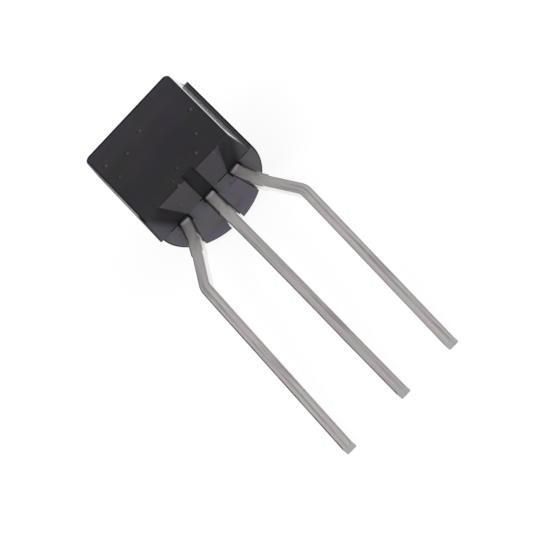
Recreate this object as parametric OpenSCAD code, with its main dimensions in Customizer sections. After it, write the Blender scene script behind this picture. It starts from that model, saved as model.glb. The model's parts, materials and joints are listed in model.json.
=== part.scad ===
// Thyristor in a moulded half-round case with three formed flat leads, lying loose.
// The modules draw it upright: X runs across the lead row, Y from the flat to the round back,
// with the parting plane and the leads' front faces at y = 0, and Z up from the lead side of
// the case at z = 0, so the leads hang down. lie_down() then lays the finished part on its
// round back and its lead tips, as a loose one comes to rest.

/* [Case] */
// Width of the front half at the parting plane
case_w = 4.52; // [4.2:0.02:5.4]
// Height of the case at the parting plane
case_h = 4.5; // [4.0:0.05:5.4]
// Depth of the front half, from the parting plane to the flat
front_depth = 1.21; // [1.0:0.01:1.5]
// Radius of the round back
back_r = 2.28; // [2.1:0.01:2.8]
// Sideways mismatch of the two mould halves
mould_shift = 0.13; // [0:0.01:0.2]
// How much higher the back half is at the top
top_step = 0.05; // [0:0.01:0.1]
// Draft of the front half's two sides, in degrees
side_draft = 6; // [2:0.5:10]
// Draft of the front half's top and lead-side face, in degrees
end_draft = 5; // [2:0.5:10]
// Draft of the back half's top and lead-side face, in degrees
back_draft = 2; // [1:0.5:5]
// Corner radius of the flat
flat_corner_r = 0.18; // [0.1:0.01:0.4]
// Corner radius of the front half at the parting plane
parting_corner_r = 0.06; // [0.04:0.01:0.2]
// Width of the broken edge round the flat
edge_break = 0.035; // [0.02:0.005:0.1]

/* [Lead pockets] */
// Height of the pockets above the lead-side face, where they run out through the flat
pocket_rise = 0.2; // [0.1:0.01:0.4]
// Gap beside each lead where it leaves the case
exit_gap = 0.055; // [0.03:0.005:0.08]
// Offset of the middle pocket at the flat
mid_pocket_shift = 0.04; // [0:0.01:0.1]
// How far the outer pockets lean outwards between the lead and the flat
outer_pocket_lean = 0.48; // [0.3:0.01:0.55]
// Width of the outer pockets at the flat
outer_pocket_w = 0.4; // [0.25:0.01:0.45]
// Least wall between an outer pocket and the side of the case, at the flat
pocket_wall = 0.1; // [0.08:0.01:0.2]

/* [Lead channels in the back half] */
// Height of the channels above the lead-side face, where they run out through the crown
channel_rise = 0.27; // [0.1:0.01:0.4]
// How much wider a channel is on each side at the crown
channel_flare = 0.03; // [0:0.01:0.1]
// How far the outer channels lean outwards between the parting plane and the crown
channel_lean = 0.43; // [0.2:0.01:0.5]
// Offset of the channels at the crown, towards -X
channel_shift = 0.09; // [0:0.01:0.12]

/* [Ejector mark] */
// Diameter of the round mark on the back
mark_d = 1.5; // [1.0:0.1:1.6]
// Depth of the mark below the crown of the back
mark_depth = 0.16; // [0.13:0.01:0.3]

/* [Lead strip] */
// Width of a lead
lead_w = 0.42; // [0.34:0.01:0.5]
// Thickness of the lead strip
lead_t = 0.38; // [0.3:0.01:0.46]
// Pitch of the leads where they leave the case
lead_pitch = 1.27; // [1.1:0.01:1.4]
// Length of the middle lead below the case
lead_len = 12.63; // [10:0.01:16]
// How much longer the right-hand lead is cut, and how much shorter the left-hand one
cut_step = 0.045; // [0:0.005:0.1]
// How far the sheared tie-bar stubs stand out on each side
stub_out = 0.04; // [0.02:0.01:0.08]
// Distance from the case to the stubs
stub_from = 1.1; // [0.9:0.05:1.4]
// Length of the stubs along the lead
stub_len = 0.55; // [0.3:0.05:0.7]

/* [Lead forming] */
// How far forming spreads each outer lead outwards
spread = 1.15; // [1.08:0.01:1.7]
// Sideways error of the forming tool, towards +X
forming_shift = 0.05; // [0:0.01:0.08]
// Angle of the first bend, at the case, in degrees
kink_angle = 11; // [6:0.5:13]
// Radius of the first bend
kink_r = 0.5; // [0.4:0.05:1]
// Angle of the long bow below it, in degrees
bow_angle = 13.5; // [10:0.5:16]
// Radius of the long bow
bow_r = 7; // [5:0.1:8]
// Radius of the bend that turns the lead back down
return_r = 0.93; // [0.6:0.01:1.2]
// Sideways lean of the two outer leads, in degrees
row_lean = 1.3; // [0:0.1:2]

/* [Lead frame inside] */
// How far the die pad stands out past the anode lead
pad_wing = 0.17; // [0.05:0.01:0.3]
// Height of the die pad's lower edge in the case
pad_z = 1.75; // [1.45:0.05:2.1]
// Moulding compound between the die pad and the top of the case
pad_cover = 0.75; // [0.4:0.05:0.9]
// Gap between the lead frame's pieces
frame_gap = 0.26; // [0.2:0.02:0.3]
// Width of the gate lead's bond head
gate_head_w = 0.9; // [0.7:0.05:1.2]
// Height of the gate lead's bond head
gate_head_h = 0.5; // [0.4:0.05:0.6]
// Width of the cathode lead's bond head
cathode_head_w = 0.56; // [0.48:0.02:0.7]
// Height of the cathode lead's bond head
cathode_head_h = 0.95; // [0.7:0.05:1.2]
// Diameter of the holes that lock the leads in the case
lock_hole_d = 0.2; // [0.14:0.02:0.24]

/* [Die and bonds] */
// Side of the square die
die_side = 1.1; // [0.8:0.05:1.3]
// Thickness of the die
die_t = 0.22; // [0.16:0.01:0.28]
// Thickness of the solder under the die
solder_t = 0.03; // [0.02:0.01:0.05]
// Width of the solder fillet round the die
solder_border = 0.06; // [0.04:0.01:0.1]
// Thickness of the metal contacts on the die
contact_t = 0.01; // [0.01:0.005:0.02]
// Side of the square gate contact
gate_contact = 0.24; // [0.2:0.01:0.3]
// Diameter of the bond wires
wire_d = 0.05; // [0.04:0.005:0.08]
// Rise of a bond wire above the line between its ends
wire_rise = 0.26; // [0.2:0.02:0.34]
// Diameter of the bonds at the ends of a wire
bond_d = 0.15; // [0.12:0.01:0.18]
// Height of the bonds
bond_h = 0.06; // [0.05:0.01:0.08]

/* [Hidden] */
$fn = 96;
// A sliver that lets a cutter run past the face that it cuts
over = 0.5;
// Thickness of the sheets that a loft is stretched between
sheet = 0.002;
// Height of the back half at the parting plane
back_h = case_h + top_step;
// What the front half loses at each side and at each end between the parting plane and the flat
side_loss = front_depth * tan(side_draft);
end_loss = front_depth * tan(end_draft);
// What the back half loses at each end at its crown
back_loss = back_r * tan(back_draft);

// The lead's width at its stubs, half the opening round a lead, and the outer leads' bends as
// distances outwards and downwards
exit_half = lead_w / 2 + exit_gap;
stub_w = lead_w + 2 * stub_out;
bent_angle = kink_angle + bow_angle;
kink_out = kink_r * (1 - cos(kink_angle));
kink_down = kink_r * sin(kink_angle);
bow_out = bow_r * (cos(kink_angle) - cos(bent_angle));
bow_down = bow_r * (sin(bent_angle) - sin(kink_angle));
return_out = return_r * (1 - cos(bent_angle));
return_down = return_r * sin(bent_angle);
bends_out = kink_out + bow_out + return_out;
// The ramp at each end of the stubs, and the distance between the points of a lead's outline
stub_ramp = 0.05;
path_step = 0.05;

// How far the part reaches to each side, for centring it
left_pitch = lead_pitch + spread - forming_shift;
right_pitch = lead_pitch + spread + forming_shift;
edge_r = return_r + lead_w / 2;
left_slant = (spread - forming_shift - bends_out) / sin(bent_angle);
left_return_z = -kink_down - bow_down - left_slant * cos(bent_angle) - return_down;
left_tip = left_pitch - return_r + edge_r * cos(row_lean)
    + tan(row_lean) * (left_return_z + edge_r * sin(row_lean) + lead_len - cut_step);
left_reach = max(left_tip, case_w / 2 + mould_shift, back_r);
right_reach = max(right_pitch + lead_w / 2, case_w / 2 - mould_shift, back_r);

// The rest pose: the crown's lower rim and the longest lead's tip touch the surface together
longest = lead_len + cut_step;
tilt = atan((back_r - lead_t) / (longest + back_loss));
rest_z = -lead_t * cos(tilt) - longest * sin(tilt);
front_y = -longest * cos(tilt);
rear_y = max((back_h - back_loss) * cos(tilt) + back_r * sin(tilt), back_h * cos(tilt));

// The lead frame inside the case
pad_top = case_h - pad_cover;
pad_right = lead_pitch + lead_w / 2 + pad_wing;
pad_left = -lead_pitch + lead_w / 2 + frame_gap;
gate_head_z = pad_z - frame_gap - gate_head_h;
cathode_head_x = pad_left - frame_gap - cathode_head_w / 2;
cathode_head_z = (pad_z + pad_top - cathode_head_h) / 2;
die_x = (pad_left + pad_right) / 2;
die_z = (pad_z + pad_top) / 2;
die_y = -solder_t - die_t;
contact_y = die_y - contact_t;
gate_contact_x = die_x - die_side / 2 + gate_contact;
gate_contact_z = die_z - die_side / 2 + gate_contact;

// ---------------------------------------------------------------- placing

// Lays the upright part on its back, centred over the origin
module lie_down() {
    translate([(left_reach - right_reach) / 2, -(front_y + rear_y) / 2, -rest_z])
        rotate([tilt - 90, 0, 0])
            children();
}

// ---------------------------------------------------------------- case

// A rectangle with round corners, as a thin sheet across Y
module outline_sheet(width, low, high, corner_r) {
    rotate([90, 0, 0])
        linear_extrude(sheet)
            translate([-width / 2 + corner_r, low + corner_r])
                rounded_rectangle(width - 2 * corner_r, high - low - 2 * corner_r, corner_r);
}

// A rounded rectangle from two bars and four discs
module rounded_rectangle(length, height, corner_r) {
    translate([-corner_r, 0])
        square([length + 2 * corner_r, height]);
    translate([0, -corner_r])
        square([length, height + 2 * corner_r]);
    for (x = [0, length], z = [0, height])
        translate([x, z])
            circle(r = corner_r, $fn = 32);
}

// The front half: a drafted block, lofted from the parting plane to the flat
module front_half() {
    break_y = front_depth - edge_break;
    break_share = break_y / front_depth;
    translate([-mould_shift, 0, 0])
        hull() {
            outline_sheet(case_w, 0, case_h, parting_corner_r);
            translate([0, sheet - break_y, 0])
                outline_sheet(
                    case_w - 2 * side_loss * break_share,
                    end_loss * break_share,
                    case_h - end_loss * break_share,
                    flat_corner_r
                );
            translate([0, sheet - front_depth, 0])
                outline_sheet(
                    case_w - 2 * side_loss - 2 * edge_break,
                    end_loss + edge_break,
                    case_h - end_loss - edge_break,
                    flat_corner_r - edge_break
                );
        }
}

// The back half: half a cylinder with drafted ends and the ejector mark
module back_half() {
    difference() {
        cylinder(r = back_r, h = back_h);
        translate([-back_r - over, -back_r - over, -over])
            cube([2 * back_r + 2 * over, back_r + over, back_h + 2 * over]);
        rotate([back_draft, 0, 0])
            translate([-back_r - over, -over, -back_r])
                cube([2 * back_r + 2 * over, back_r + 2 * over, back_r]);
        translate([0, 0, back_h])
            rotate([-back_draft, 0, 0])
                translate([-back_r - over, -over, 0])
                    cube([2 * back_r + 2 * over, back_r + 2 * over, back_r]);
        translate([0, back_r - mark_depth, back_h / 2])
            rotate([-90, 0, 0])
                cylinder(d = mark_d, h = back_r);
    }
}

// A cutter for one lead pocket: it starts as a slit over the lead and opens towards the plane
// at depth in front of the leads. exit and mouth are its two ends in X, and mouth_low is the
// height at its outer end.
module pocket(exit, mouth, mouth_high, mouth_low, depth) {
    slit = 0.02;
    hull() {
        translate([exit[0], -sheet, -over])
            cube([exit[1] - exit[0], sheet, over + slit]);
        translate([0, -depth, 0])
            rotate([90, 0, 0])
                linear_extrude(over)
                    polygon([
                        [mouth[0], -over],
                        [mouth[1], -over],
                        [mouth[1], mouth_low],
                        [mouth[0], mouth_high]
                    ]);
    }
}

// The pockets at the three leads; the outer ones are deepest beside the middle one
module pockets() {
    top = end_loss + pocket_rise;
    mouth = [mid_pocket_shift - exit_half, mid_pocket_shift + exit_half];
    pocket([-exit_half, exit_half], mouth, top, top, front_depth);
    inner = lead_pitch - exit_half;
    side_x = case_w / 2 - side_loss - mould_shift;
    outer = min(inner + outer_pocket_lean + outer_pocket_w, side_x - pocket_wall);
    for (side = [0, 1])
        mirror([side, 0, 0])
            pocket(
                [inner, inner + 2 * exit_half],
                [outer - outer_pocket_w, outer],
                top,
                end_loss,
                front_depth
            );
}

// The channels behind the three leads, out to the crown; the outer ones lean outwards
module channels() {
    top = back_loss + channel_rise;
    wide = exit_half + channel_flare;
    mirror([0, 1, 0])
        for (row = [-1, 0, 1])
            let(centre = row * lead_pitch, end = centre + row * channel_lean - channel_shift)
                pocket(
                    [centre - exit_half, centre + exit_half],
                    [end - wide, end + wide],
                    top,
                    top,
                    back_r
                );
}

// ---------------------------------------------------------------- lead strip

// A lead's path is a list of [length, turn] pieces, with each turn in degrees towards +X.
// path_at gives [x, z, heading] at a distance along it, with the heading off straight down.
function path_at(path, distance, at = [0, 0, 0], i = 0) =
    i == len(path) - 1 || distance <= path[i][0]
        ? piece_at(path[i], distance, at)
        : path_at(path, distance - path[i][0], piece_at(path[i], path[i][0], at), i + 1);

function piece_at(piece, distance, at) =
    piece[1] == 0
        ? [at[0] + distance * sin(at[2]), at[1] - distance * cos(at[2]), at[2]]
        : arc_at(piece[0] / piece[1] * 180 / PI, piece[1] * distance / piece[0], at);

function arc_at(radius, turn, at) = [
    at[0] + radius * (cos(at[2]) - cos(at[2] + turn)),
    at[1] - radius * (sin(at[2] + turn) - sin(at[2])),
    at[2] + turn
];

function arc_length(angle, radius) = abs(angle) * PI / 180 * radius;

function path_length(path, i = 0) =
    i == len(path) ? 0 : path[i][0] + path_length(path, i + 1);

// An outer lead's path: out by its travel, then down at its lean
function formed_path(travel, lean) = [
    [arc_length(kink_angle, kink_r), kink_angle],
    [arc_length(bow_angle, bow_r), bow_angle],
    [(travel - bends_out) / sin(bent_angle), 0],
    [arc_length(bent_angle - lean, return_r), lean - bent_angle]
];

// Half the width of a lead at a distance from the case
function half_width(distance) = lookup(distance, [
    [stub_from - stub_ramp, lead_w / 2],
    [stub_from, stub_w / 2],
    [stub_from + stub_len, stub_w / 2],
    [stub_from + stub_len + stub_ramp, lead_w / 2]
]);

// A point on one side of a lead's outline; side is 1 or -1
function edge_at(path, distance, side) =
    let(at = path_at(path, distance), out = side * half_width(distance))
        [at[0] + out * cos(at[2]), at[1] + out * sin(at[2])];

// The end of a lead on one side, where it is cut off square to the row
function tip_at(path, length, side) =
    let(at = path_at(path, path_length(path)), out = side * lead_w / 2 / cos(at[2]))
        [at[0] + (length + at[1]) * tan(at[2]) + out, -length];

// The last point of a lead's outline before the end of its bends
function last_station(bends_end) = floor(bends_end / path_step) * path_step;

// A lead cut from the strip: up to the stem's height in the case, along its path below the
// case, and straight on to its length
module lead(path, length, stem) {
    bends_end = path_length(path);
    translate([0, lead_t, 0])
        rotate([90, 0, 0])
            linear_extrude(lead_t)
                polygon([
                    [-lead_w / 2, stem],
                    for (distance = [0 : path_step : bends_end]) edge_at(path, distance, -1),
                    edge_at(path, bends_end, -1),
                    tip_at(path, length, -1),
                    tip_at(path, length, 1),
                    edge_at(path, bends_end, 1),
                    for (back = [0 : path_step : bends_end])
                        edge_at(path, last_station(bends_end) - back, 1),
                    [lead_w / 2, stem]
                ]);
}

// A plate of the lead frame, from its left edge and lower edge
module frame_plate(left, low, width, height) {
    translate([left, 0, low])
        cube([width, lead_t, height]);
}

// A locking hole through the strip
module lock_hole(x, z) {
    translate([x, -over, z])
        rotate([-90, 0, 0])
            cylinder(d = lock_hole_d, h = lead_t + 2 * over);
}

// The right-hand lead, with the pad that carries the die
module anode_shape() {
    chamfer = 0.3;
    difference() {
        union() {
            translate([lead_pitch, 0, 0])
                lead(formed_path(spread + forming_shift, -row_lean), lead_len + cut_step, die_z);
            translate([0, lead_t, 0])
                rotate([90, 0, 0])
                    linear_extrude(lead_t)
                        polygon([
                            [pad_left, pad_z],
                            [pad_right, pad_z],
                            [pad_right, pad_top - chamfer],
                            [pad_right - chamfer, pad_top],
                            [pad_left + chamfer, pad_top],
                            [pad_left, pad_top - chamfer]
                        ]);
        }
        lock_hole(lead_pitch, pad_z / 2);
    }
}

// The middle lead, with the head that takes the gate wire
module gate_shape() {
    difference() {
        union() {
            lead(
                [[stub_from + stub_len + stub_ramp, 0]],
                lead_len,
                gate_head_z + gate_head_h / 2
            );
            frame_plate(-gate_head_w / 2, gate_head_z, gate_head_w, gate_head_h);
        }
        lock_hole(0, gate_head_z / 2);
    }
}

// The left-hand lead, with the head that takes the cathode wire
module cathode_shape() {
    difference() {
        union() {
            translate([-lead_pitch, 0, 0])
                mirror([1, 0, 0])
                    lead(
                        formed_path(spread - forming_shift, row_lean),
                        lead_len - cut_step,
                        cathode_head_z + cathode_head_h / 2
                    );
            frame_plate(
                cathode_head_x - cathode_head_w / 2,
                cathode_head_z,
                cathode_head_w,
                cathode_head_h
            );
        }
        lock_hole(-lead_pitch, pad_z / 2);
    }
}

// ---------------------------------------------------------------- die and bonds

// The solder layer, a little larger than the die
module solder_shape() {
    side = die_side + 2 * solder_border;
    translate([die_x - side / 2, -solder_t, die_z - side / 2])
        cube([side, solder_t, side]);
}

// The die with its gate contact in one corner and the cathode contact round it
module die_shape() {
    margin = (die_side - 3 * gate_contact) / 4;
    edge = die_side / 2 - margin;
    translate([die_x - die_side / 2, die_y, die_z - die_side / 2])
        cube([die_side, die_t, die_side]);
    translate([gate_contact_x - gate_contact / 2, contact_y, gate_contact_z - gate_contact / 2])
        cube([gate_contact, contact_t, gate_contact]);
    translate([die_x - edge, contact_y, die_z])
        cube([2 * edge, contact_t, edge]);
}

// A bond wire between two points given as [x, y, z]: an arc that bulges towards the flat,
// with a round bond standing on its contact at each end
module bond_wire(start, finish) {
    run = norm([finish[0] - start[0], finish[2] - start[2]]);
    climb = start[1] - finish[1];
    chord = norm([run, climb]);
    radius = chord * chord / (8 * wire_rise) + wire_rise / 2;
    half = asin(chord / 2 / radius);
    turn = atan2(finish[2] - start[2], finish[0] - start[0]);
    for (foot = [start, finish])
        translate(foot)
            rotate([90, 0, 0])
                cylinder(d = bond_d, h = bond_h);
    translate(start)
        rotate([0, -turn, 0])
            translate([0, -bond_h / 2, 0])
                rotate([0, 0, -atan2(climb, run)])
                    translate([chord / 2, radius - wire_rise, 0])
                        rotate([0, 0, -90 - half])
                            rotate_extrude(angle = 2 * half)
                                translate([radius, 0])
                                    circle(d = wire_d, $fn = 24);
}

// From the gate contact down to the gate lead's head
module gate_wire_shape() {
    bond_wire(
        [gate_contact_x, contact_y, gate_contact_z],
        [0, 0, gate_head_z + gate_head_h / 2]
    );
}

// From the cathode contact across to the cathode lead's head
module cathode_wire_shape() {
    bond_wire(
        [die_x, contact_y, die_z + die_side / 4],
        [cathode_head_x, 0, cathode_head_z + cathode_head_h / 2]
    );
}

// ---------------------------------------------------------------- nodes

module moulded_case() {
    color("#3a393c")
        lie_down()
            difference() {
                union() {
                    difference() {
                        front_half();
                        pockets();
                    }
                    difference() {
                        back_half();
                        channels();
                    }
                }
                anode_shape();
                gate_shape();
                cathode_shape();
                solder_shape();
                die_shape();
                gate_wire_shape();
                cathode_wire_shape();
            }
}

module anode_lead() {
    color("#a5a3a0")
        lie_down()
            anode_shape();
}

module gate_lead() {
    color("#a5a3a0")
        lie_down()
            gate_shape();
}

module cathode_lead() {
    color("#a5a3a0")
        lie_down()
            cathode_shape();
}

module thyristor_die() {
    color("#6b7280")
        lie_down()
            die_shape();
}

module die_solder() {
    color("#b8b8b4")
        lie_down()
            solder_shape();
}

module gate_wire() {
    color("#d9b45a")
        lie_down()
            gate_wire_shape();
}

module cathode_wire() {
    color("#d9b45a")
        lie_down()
            cathode_wire_shape();
}

moulded_case();
anode_lead();
gate_lead();
cathode_lead();
thyristor_die();
die_solder();
gate_wire();
cathode_wire();
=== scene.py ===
"""The looks of a small thyristor in a moulded half-round case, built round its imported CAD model.

Pieces are drawn in the part's own upright frame, in millimetres: X runs across the lead row, Y
from the flat to the round back with the parting plane at 0, and Z up from the lead side of the
case at 0. Placement then lays them where the CAD model lies.
"""

import json
import logging
import math
from dataclasses import dataclass
from enum import Enum
from typing import Callable, Sequence, Union

import bmesh
import bpy
from mathutils import Euler, Matrix, Vector

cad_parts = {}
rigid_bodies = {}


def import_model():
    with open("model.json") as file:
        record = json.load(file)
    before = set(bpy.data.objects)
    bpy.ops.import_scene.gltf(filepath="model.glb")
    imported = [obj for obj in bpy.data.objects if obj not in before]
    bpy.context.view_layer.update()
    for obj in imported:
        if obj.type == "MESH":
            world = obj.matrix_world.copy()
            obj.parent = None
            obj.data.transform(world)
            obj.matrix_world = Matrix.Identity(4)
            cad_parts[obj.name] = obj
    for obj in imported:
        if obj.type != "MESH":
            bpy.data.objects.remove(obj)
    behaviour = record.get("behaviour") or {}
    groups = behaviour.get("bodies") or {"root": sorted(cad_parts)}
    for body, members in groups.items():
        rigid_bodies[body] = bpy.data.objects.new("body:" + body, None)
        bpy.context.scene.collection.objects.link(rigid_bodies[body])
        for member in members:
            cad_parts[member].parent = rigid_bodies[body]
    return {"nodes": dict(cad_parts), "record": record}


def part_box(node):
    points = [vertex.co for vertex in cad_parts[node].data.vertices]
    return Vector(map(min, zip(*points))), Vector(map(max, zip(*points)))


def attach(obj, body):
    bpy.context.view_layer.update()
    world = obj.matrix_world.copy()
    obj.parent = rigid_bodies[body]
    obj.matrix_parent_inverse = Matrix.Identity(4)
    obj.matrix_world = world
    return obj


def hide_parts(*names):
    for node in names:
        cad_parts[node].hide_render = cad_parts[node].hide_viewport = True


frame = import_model()

LOG = logging.getLogger("thyristor")
MM = 0.001
SHARP_ANGLE = math.radians(35)
# Merging distances: doubled points, a CAD node's loose triangles, and what cuts leave behind.
COINCIDENT = 1e-5
LOOSE = 1e-4
SLIVER = 2e-4
# How much wider each inner room is than the one before it, so that two never share a wall.
ROOM_PLAY = 0.0015
# How far a cutter stands out of what it cuts.
CLEAR = 0.1
LEAD_PITCH = 1.27
# The share of a speck's radius over which it is solid, and how sharply a cell holds one or none.
SPECK_CORE = 0.4
CHANCE_STEP = 0.01

Pair = tuple[float, float]
Triple = tuple[float, float, float]
Colour = Triple
Point = Triple
Link = bpy.types.NodeSocket


# ---------------------------------------------------------------- shader writing


class Value:
    """A number that varies over a surface; Python sums on it add Math nodes."""

    def __init__(self, recipe: "Recipe", socket: Link) -> None:
        """Keeps the socket and the recipe that it belongs to."""
        self.recipe = recipe
        self.socket = socket

    def __add__(self, other: "Number") -> "Value":
        """Adds."""
        return self.recipe.math("ADD", self, other)

    __radd__ = __add__

    def __sub__(self, other: "Number") -> "Value":
        """Subtracts."""
        return self.recipe.math("SUBTRACT", self, other)

    def __rsub__(self, other: "Number") -> "Value":
        """Subtracts this from a number."""
        return self.recipe.math("SUBTRACT", other, self)

    def __mul__(self, other: "Number") -> "Value":
        """Multiplies."""
        return self.recipe.math("MULTIPLY", self, other)

    __rmul__ = __mul__

    def __truediv__(self, other: "Number") -> "Value":
        """Divides."""
        return self.recipe.math("DIVIDE", self, other)

    def __neg__(self) -> "Value":
        """Turns the sign."""
        return self * -1

    def __abs__(self) -> "Value":
        """The size without the sign."""
        return self.recipe.math("ABSOLUTE", self)

    def spread(self, width: float) -> "Value":
        """Noise from 0 to 1, laid round 0 over a width."""
        return (self - 0.5) * width

    def ramp(self, start: float, end: float) -> "Value":
        """A smooth step from 0 at start to 1 at end.

        Args:
            start: The value at which the step begins.
            end: The value at which it is complete; it may be the lower of the two.

        Returns:
            The step, from 0 to 1.
        """
        low, high = min(start, end), max(start, end)
        node = self.recipe.node(
            "ShaderNodeMapRange",
            {"interpolation_type": "SMOOTHSTEP"},
            {"Value": self, "From Min": low, "From Max": high},
        )
        step = Value(self.recipe, node.outputs["Result"])
        return step if start < end else 1 - step


Number = Union[float, Value]
Socket = Union[float, Sequence[float], Link, Value]


class Recipe:
    """A material's node tree while it is written."""

    def __init__(self, name: str) -> None:
        """Starts an empty material.

        Args:
            name: The material's name.
        """
        self.material = bpy.data.materials.new(name)
        self.material.use_nodes = True
        self.tree = self.material.node_tree
        self.tree.nodes.clear()

    def node(self, kind: str, settings: dict, sockets: dict) -> bpy.types.Node:
        """Adds a node.

        Args:
            kind: The node's type.
            settings: Its own properties, set first.
            sockets: A value, a colour or a link for each input, by name or number.

        Returns:
            The node.
        """
        made = self.tree.nodes.new(kind)
        for name, setting in settings.items():
            setattr(made, name, setting)
        for name, given in sockets.items():
            self._feed(made.inputs[name], given)
        return made

    def _feed(self, socket: Link, given: Socket) -> None:
        """Links an input, or sets its constant.

        Args:
            socket: The input.
            given: A value, a colour or a link.
        """
        if isinstance(given, Value):
            given = given.socket
        if isinstance(given, Link):
            self.tree.links.new(given, socket)
        elif socket.type == "RGBA" and len(given) == 3:
            socket.default_value = (*given, 1)
        else:
            socket.default_value = given

    def math(self, operation: str, *terms: Number) -> Value:
        """One Math node on values and numbers."""
        node = self.node("ShaderNodeMath", {"operation": operation}, dict(enumerate(terms)))
        return Value(self, node.outputs[0])

    def largest(self, *terms: Value) -> Value:
        """The largest of some values.

        Args:
            *terms: The values.

        Returns:
            The largest of them at each point.
        """
        result = terms[0]
        for term in terms[1:]:
            result = self.math("MAXIMUM", result, term)
        return result

    def blend(self, share: Number, first: Socket, second: Socket) -> Link:
        """Mixes two colours by a share of the second one."""
        node = self.node("ShaderNodeMix", {"data_type": "RGBA"}, {0: share, 6: first, 7: second})
        return node.outputs[2]

    def shaded(self, colour: Socket, level: Value) -> Link:
        """A colour times a level."""
        node = self.node(
            "ShaderNodeVectorMath", {"operation": "SCALE"}, {"Vector": colour, "Scale": level}
        )
        return node.outputs[0]

    def tinted(self, colour: Socket, tint: Socket) -> Link:
        """A colour times another."""
        node = self.node("ShaderNodeVectorMath", {"operation": "MULTIPLY"}, {0: colour, 1: tint})
        return node.outputs[0]

    def attribute(self, name: str) -> bpy.types.Node:
        """A mesh's own attribute."""
        return self.node(
            "ShaderNodeAttribute", {"attribute_type": "GEOMETRY", "attribute_name": name}, {}
        )

    def axes(self, place: Socket) -> list[Value]:
        """The three parts of some coordinates."""
        parts = self.node("ShaderNodeSeparateXYZ", {}, {"Vector": place})
        return [Value(self, parts.outputs[name]) for name in "XYZ"]

    def mapped(self, place: Socket, scale: Point = (1, 1, 1), shift: Point = (0, 0, 0)) -> Socket:
        """Coordinates scaled by axis, then shifted."""
        node = self.node(
            "ShaderNodeMapping", {}, {"Vector": place, "Location": shift, "Scale": scale}
        )
        return node.outputs["Vector"]

    def streaks(self, place: Socket, scale: Point, seed: float, detail: float = 2.0) -> Value:
        """Noise whose features are a different length on each axis."""
        return self.noise(self.mapped(place, scale), 1.0, detail, seed)

    def noise(self, place: Socket, scale: float, detail: float = 2.0, seed: float = 0.0) -> Value:
        """Noise from 0 to 1.

        Args:
            place: The coordinates.
            scale: How many features there are to a millimetre.
            detail: How many finer layers are laid over it.
            seed: Which noise it is.

        Returns:
            The noise.
        """
        node = self.node(
            "ShaderNodeTexNoise",
            {"noise_dimensions": "4D"},
            {"Vector": place, "W": seed, "Scale": scale, "Detail": detail, "Roughness": 0.55},
        )
        return Value(self, node.outputs["Fac"])

    def specks(self, place: Socket, scale: float, size: float, rare: float) -> Value:
        """Small round specks scattered over a surface.

        Args:
            place: The coordinates.
            scale: How many cells there are to a millimetre; each cell may hold a speck.
            size: A speck's radius, as a share of a cell.
            rare: The share of the cells that hold none.

        Returns:
            1 on a speck and 0 off it.
        """
        cells = self.node("ShaderNodeTexVoronoi", {}, {"Vector": place, "Scale": scale})
        near = Value(self, cells.outputs["Distance"]).ramp(size, size * SPECK_CORE)
        chance = self.node("ShaderNodeSeparateColor", {}, {"Color": cells.outputs["Color"]})
        return near * Value(self, chance.outputs["Red"]).ramp(rare, rare + CHANCE_STEP)

    def bump(self, height: Value) -> Link:
        """The normal of a surface with that height, in millimetres."""
        node = self.node("ShaderNodeBump", {}, {"Distance": MM, "Height": height})
        return node.outputs["Normal"]

    def principled(self, sockets: dict) -> Link:
        """A surface shader."""
        return self.node("ShaderNodeBsdfPrincipled", {}, sockets).outputs["BSDF"]

    def finish(self, shader: Link) -> bpy.types.Material:
        """Ends the recipe with its surface shader and returns the material."""
        self.node("ShaderNodeOutputMaterial", {}, {"Surface": shader})
        return self.material


# ---------------------------------------------------------------- placing and meshes


@dataclass(frozen=True)
class Placement:
    """Where the upright design frame lies in the row frame."""

    tilt: float
    offset: Vector

    @classmethod
    def from_frame(cls, lead_length: float, lead_thickness: float) -> "Placement":
        """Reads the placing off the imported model.

        Args:
            lead_length: The middle lead's length below the case.
            lead_thickness: The thickness of the lead strip.

        Returns:
            The placing: the flat's direction gives the tilt, and the middle lead's box the rest.
        """
        flat = next(m for m in frame["record"]["mounts"] if m["name"] == "front_flat")
        tilt = math.atan2(-flat["axis"][1], flat["axis"][2])
        low, high = (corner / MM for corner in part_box("gate_lead"))
        sine, cosine = math.sin(tilt), math.cos(tilt)
        return cls(
            tilt=tilt,
            offset=Vector(
                (
                    (low.x + high.x) / 2,
                    low.y + lead_length * cosine,
                    low.z + lead_thickness * cosine + lead_length * sine,
                )
            ),
        )

    def matrix(self) -> Matrix:
        """From the design frame in millimetres to the row frame in metres."""
        turn = Matrix.Rotation(self.tilt - math.pi / 2, 4, "X")
        return Matrix.Scale(MM, 4) @ Matrix.Translation(self.offset) @ turn

    def design_place(self, recipe: Recipe) -> Link:
        """The design frame's coordinates in a shader.

        Args:
            recipe: The recipe of the material.

        Returns:
            The coordinates, in millimetres.
        """
        place = recipe.node("ShaderNodeTexCoord", {}, {})
        turn = Euler((math.pi / 2 - self.tilt, 0, 0))
        shift = -(turn.to_matrix() @ self.offset)
        mapping = recipe.node(
            "ShaderNodeMapping",
            {"vector_type": "POINT"},
            {
                "Vector": place.outputs["Object"],
                "Location": shift,
                "Rotation": turn,
                "Scale": (1 / MM,) * 3,
            },
        )
        return mapping.outputs["Vector"]


class Carving(Enum):
    """What a boolean cut does."""

    CUT = "DIFFERENCE"
    JOIN = "UNION"


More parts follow.
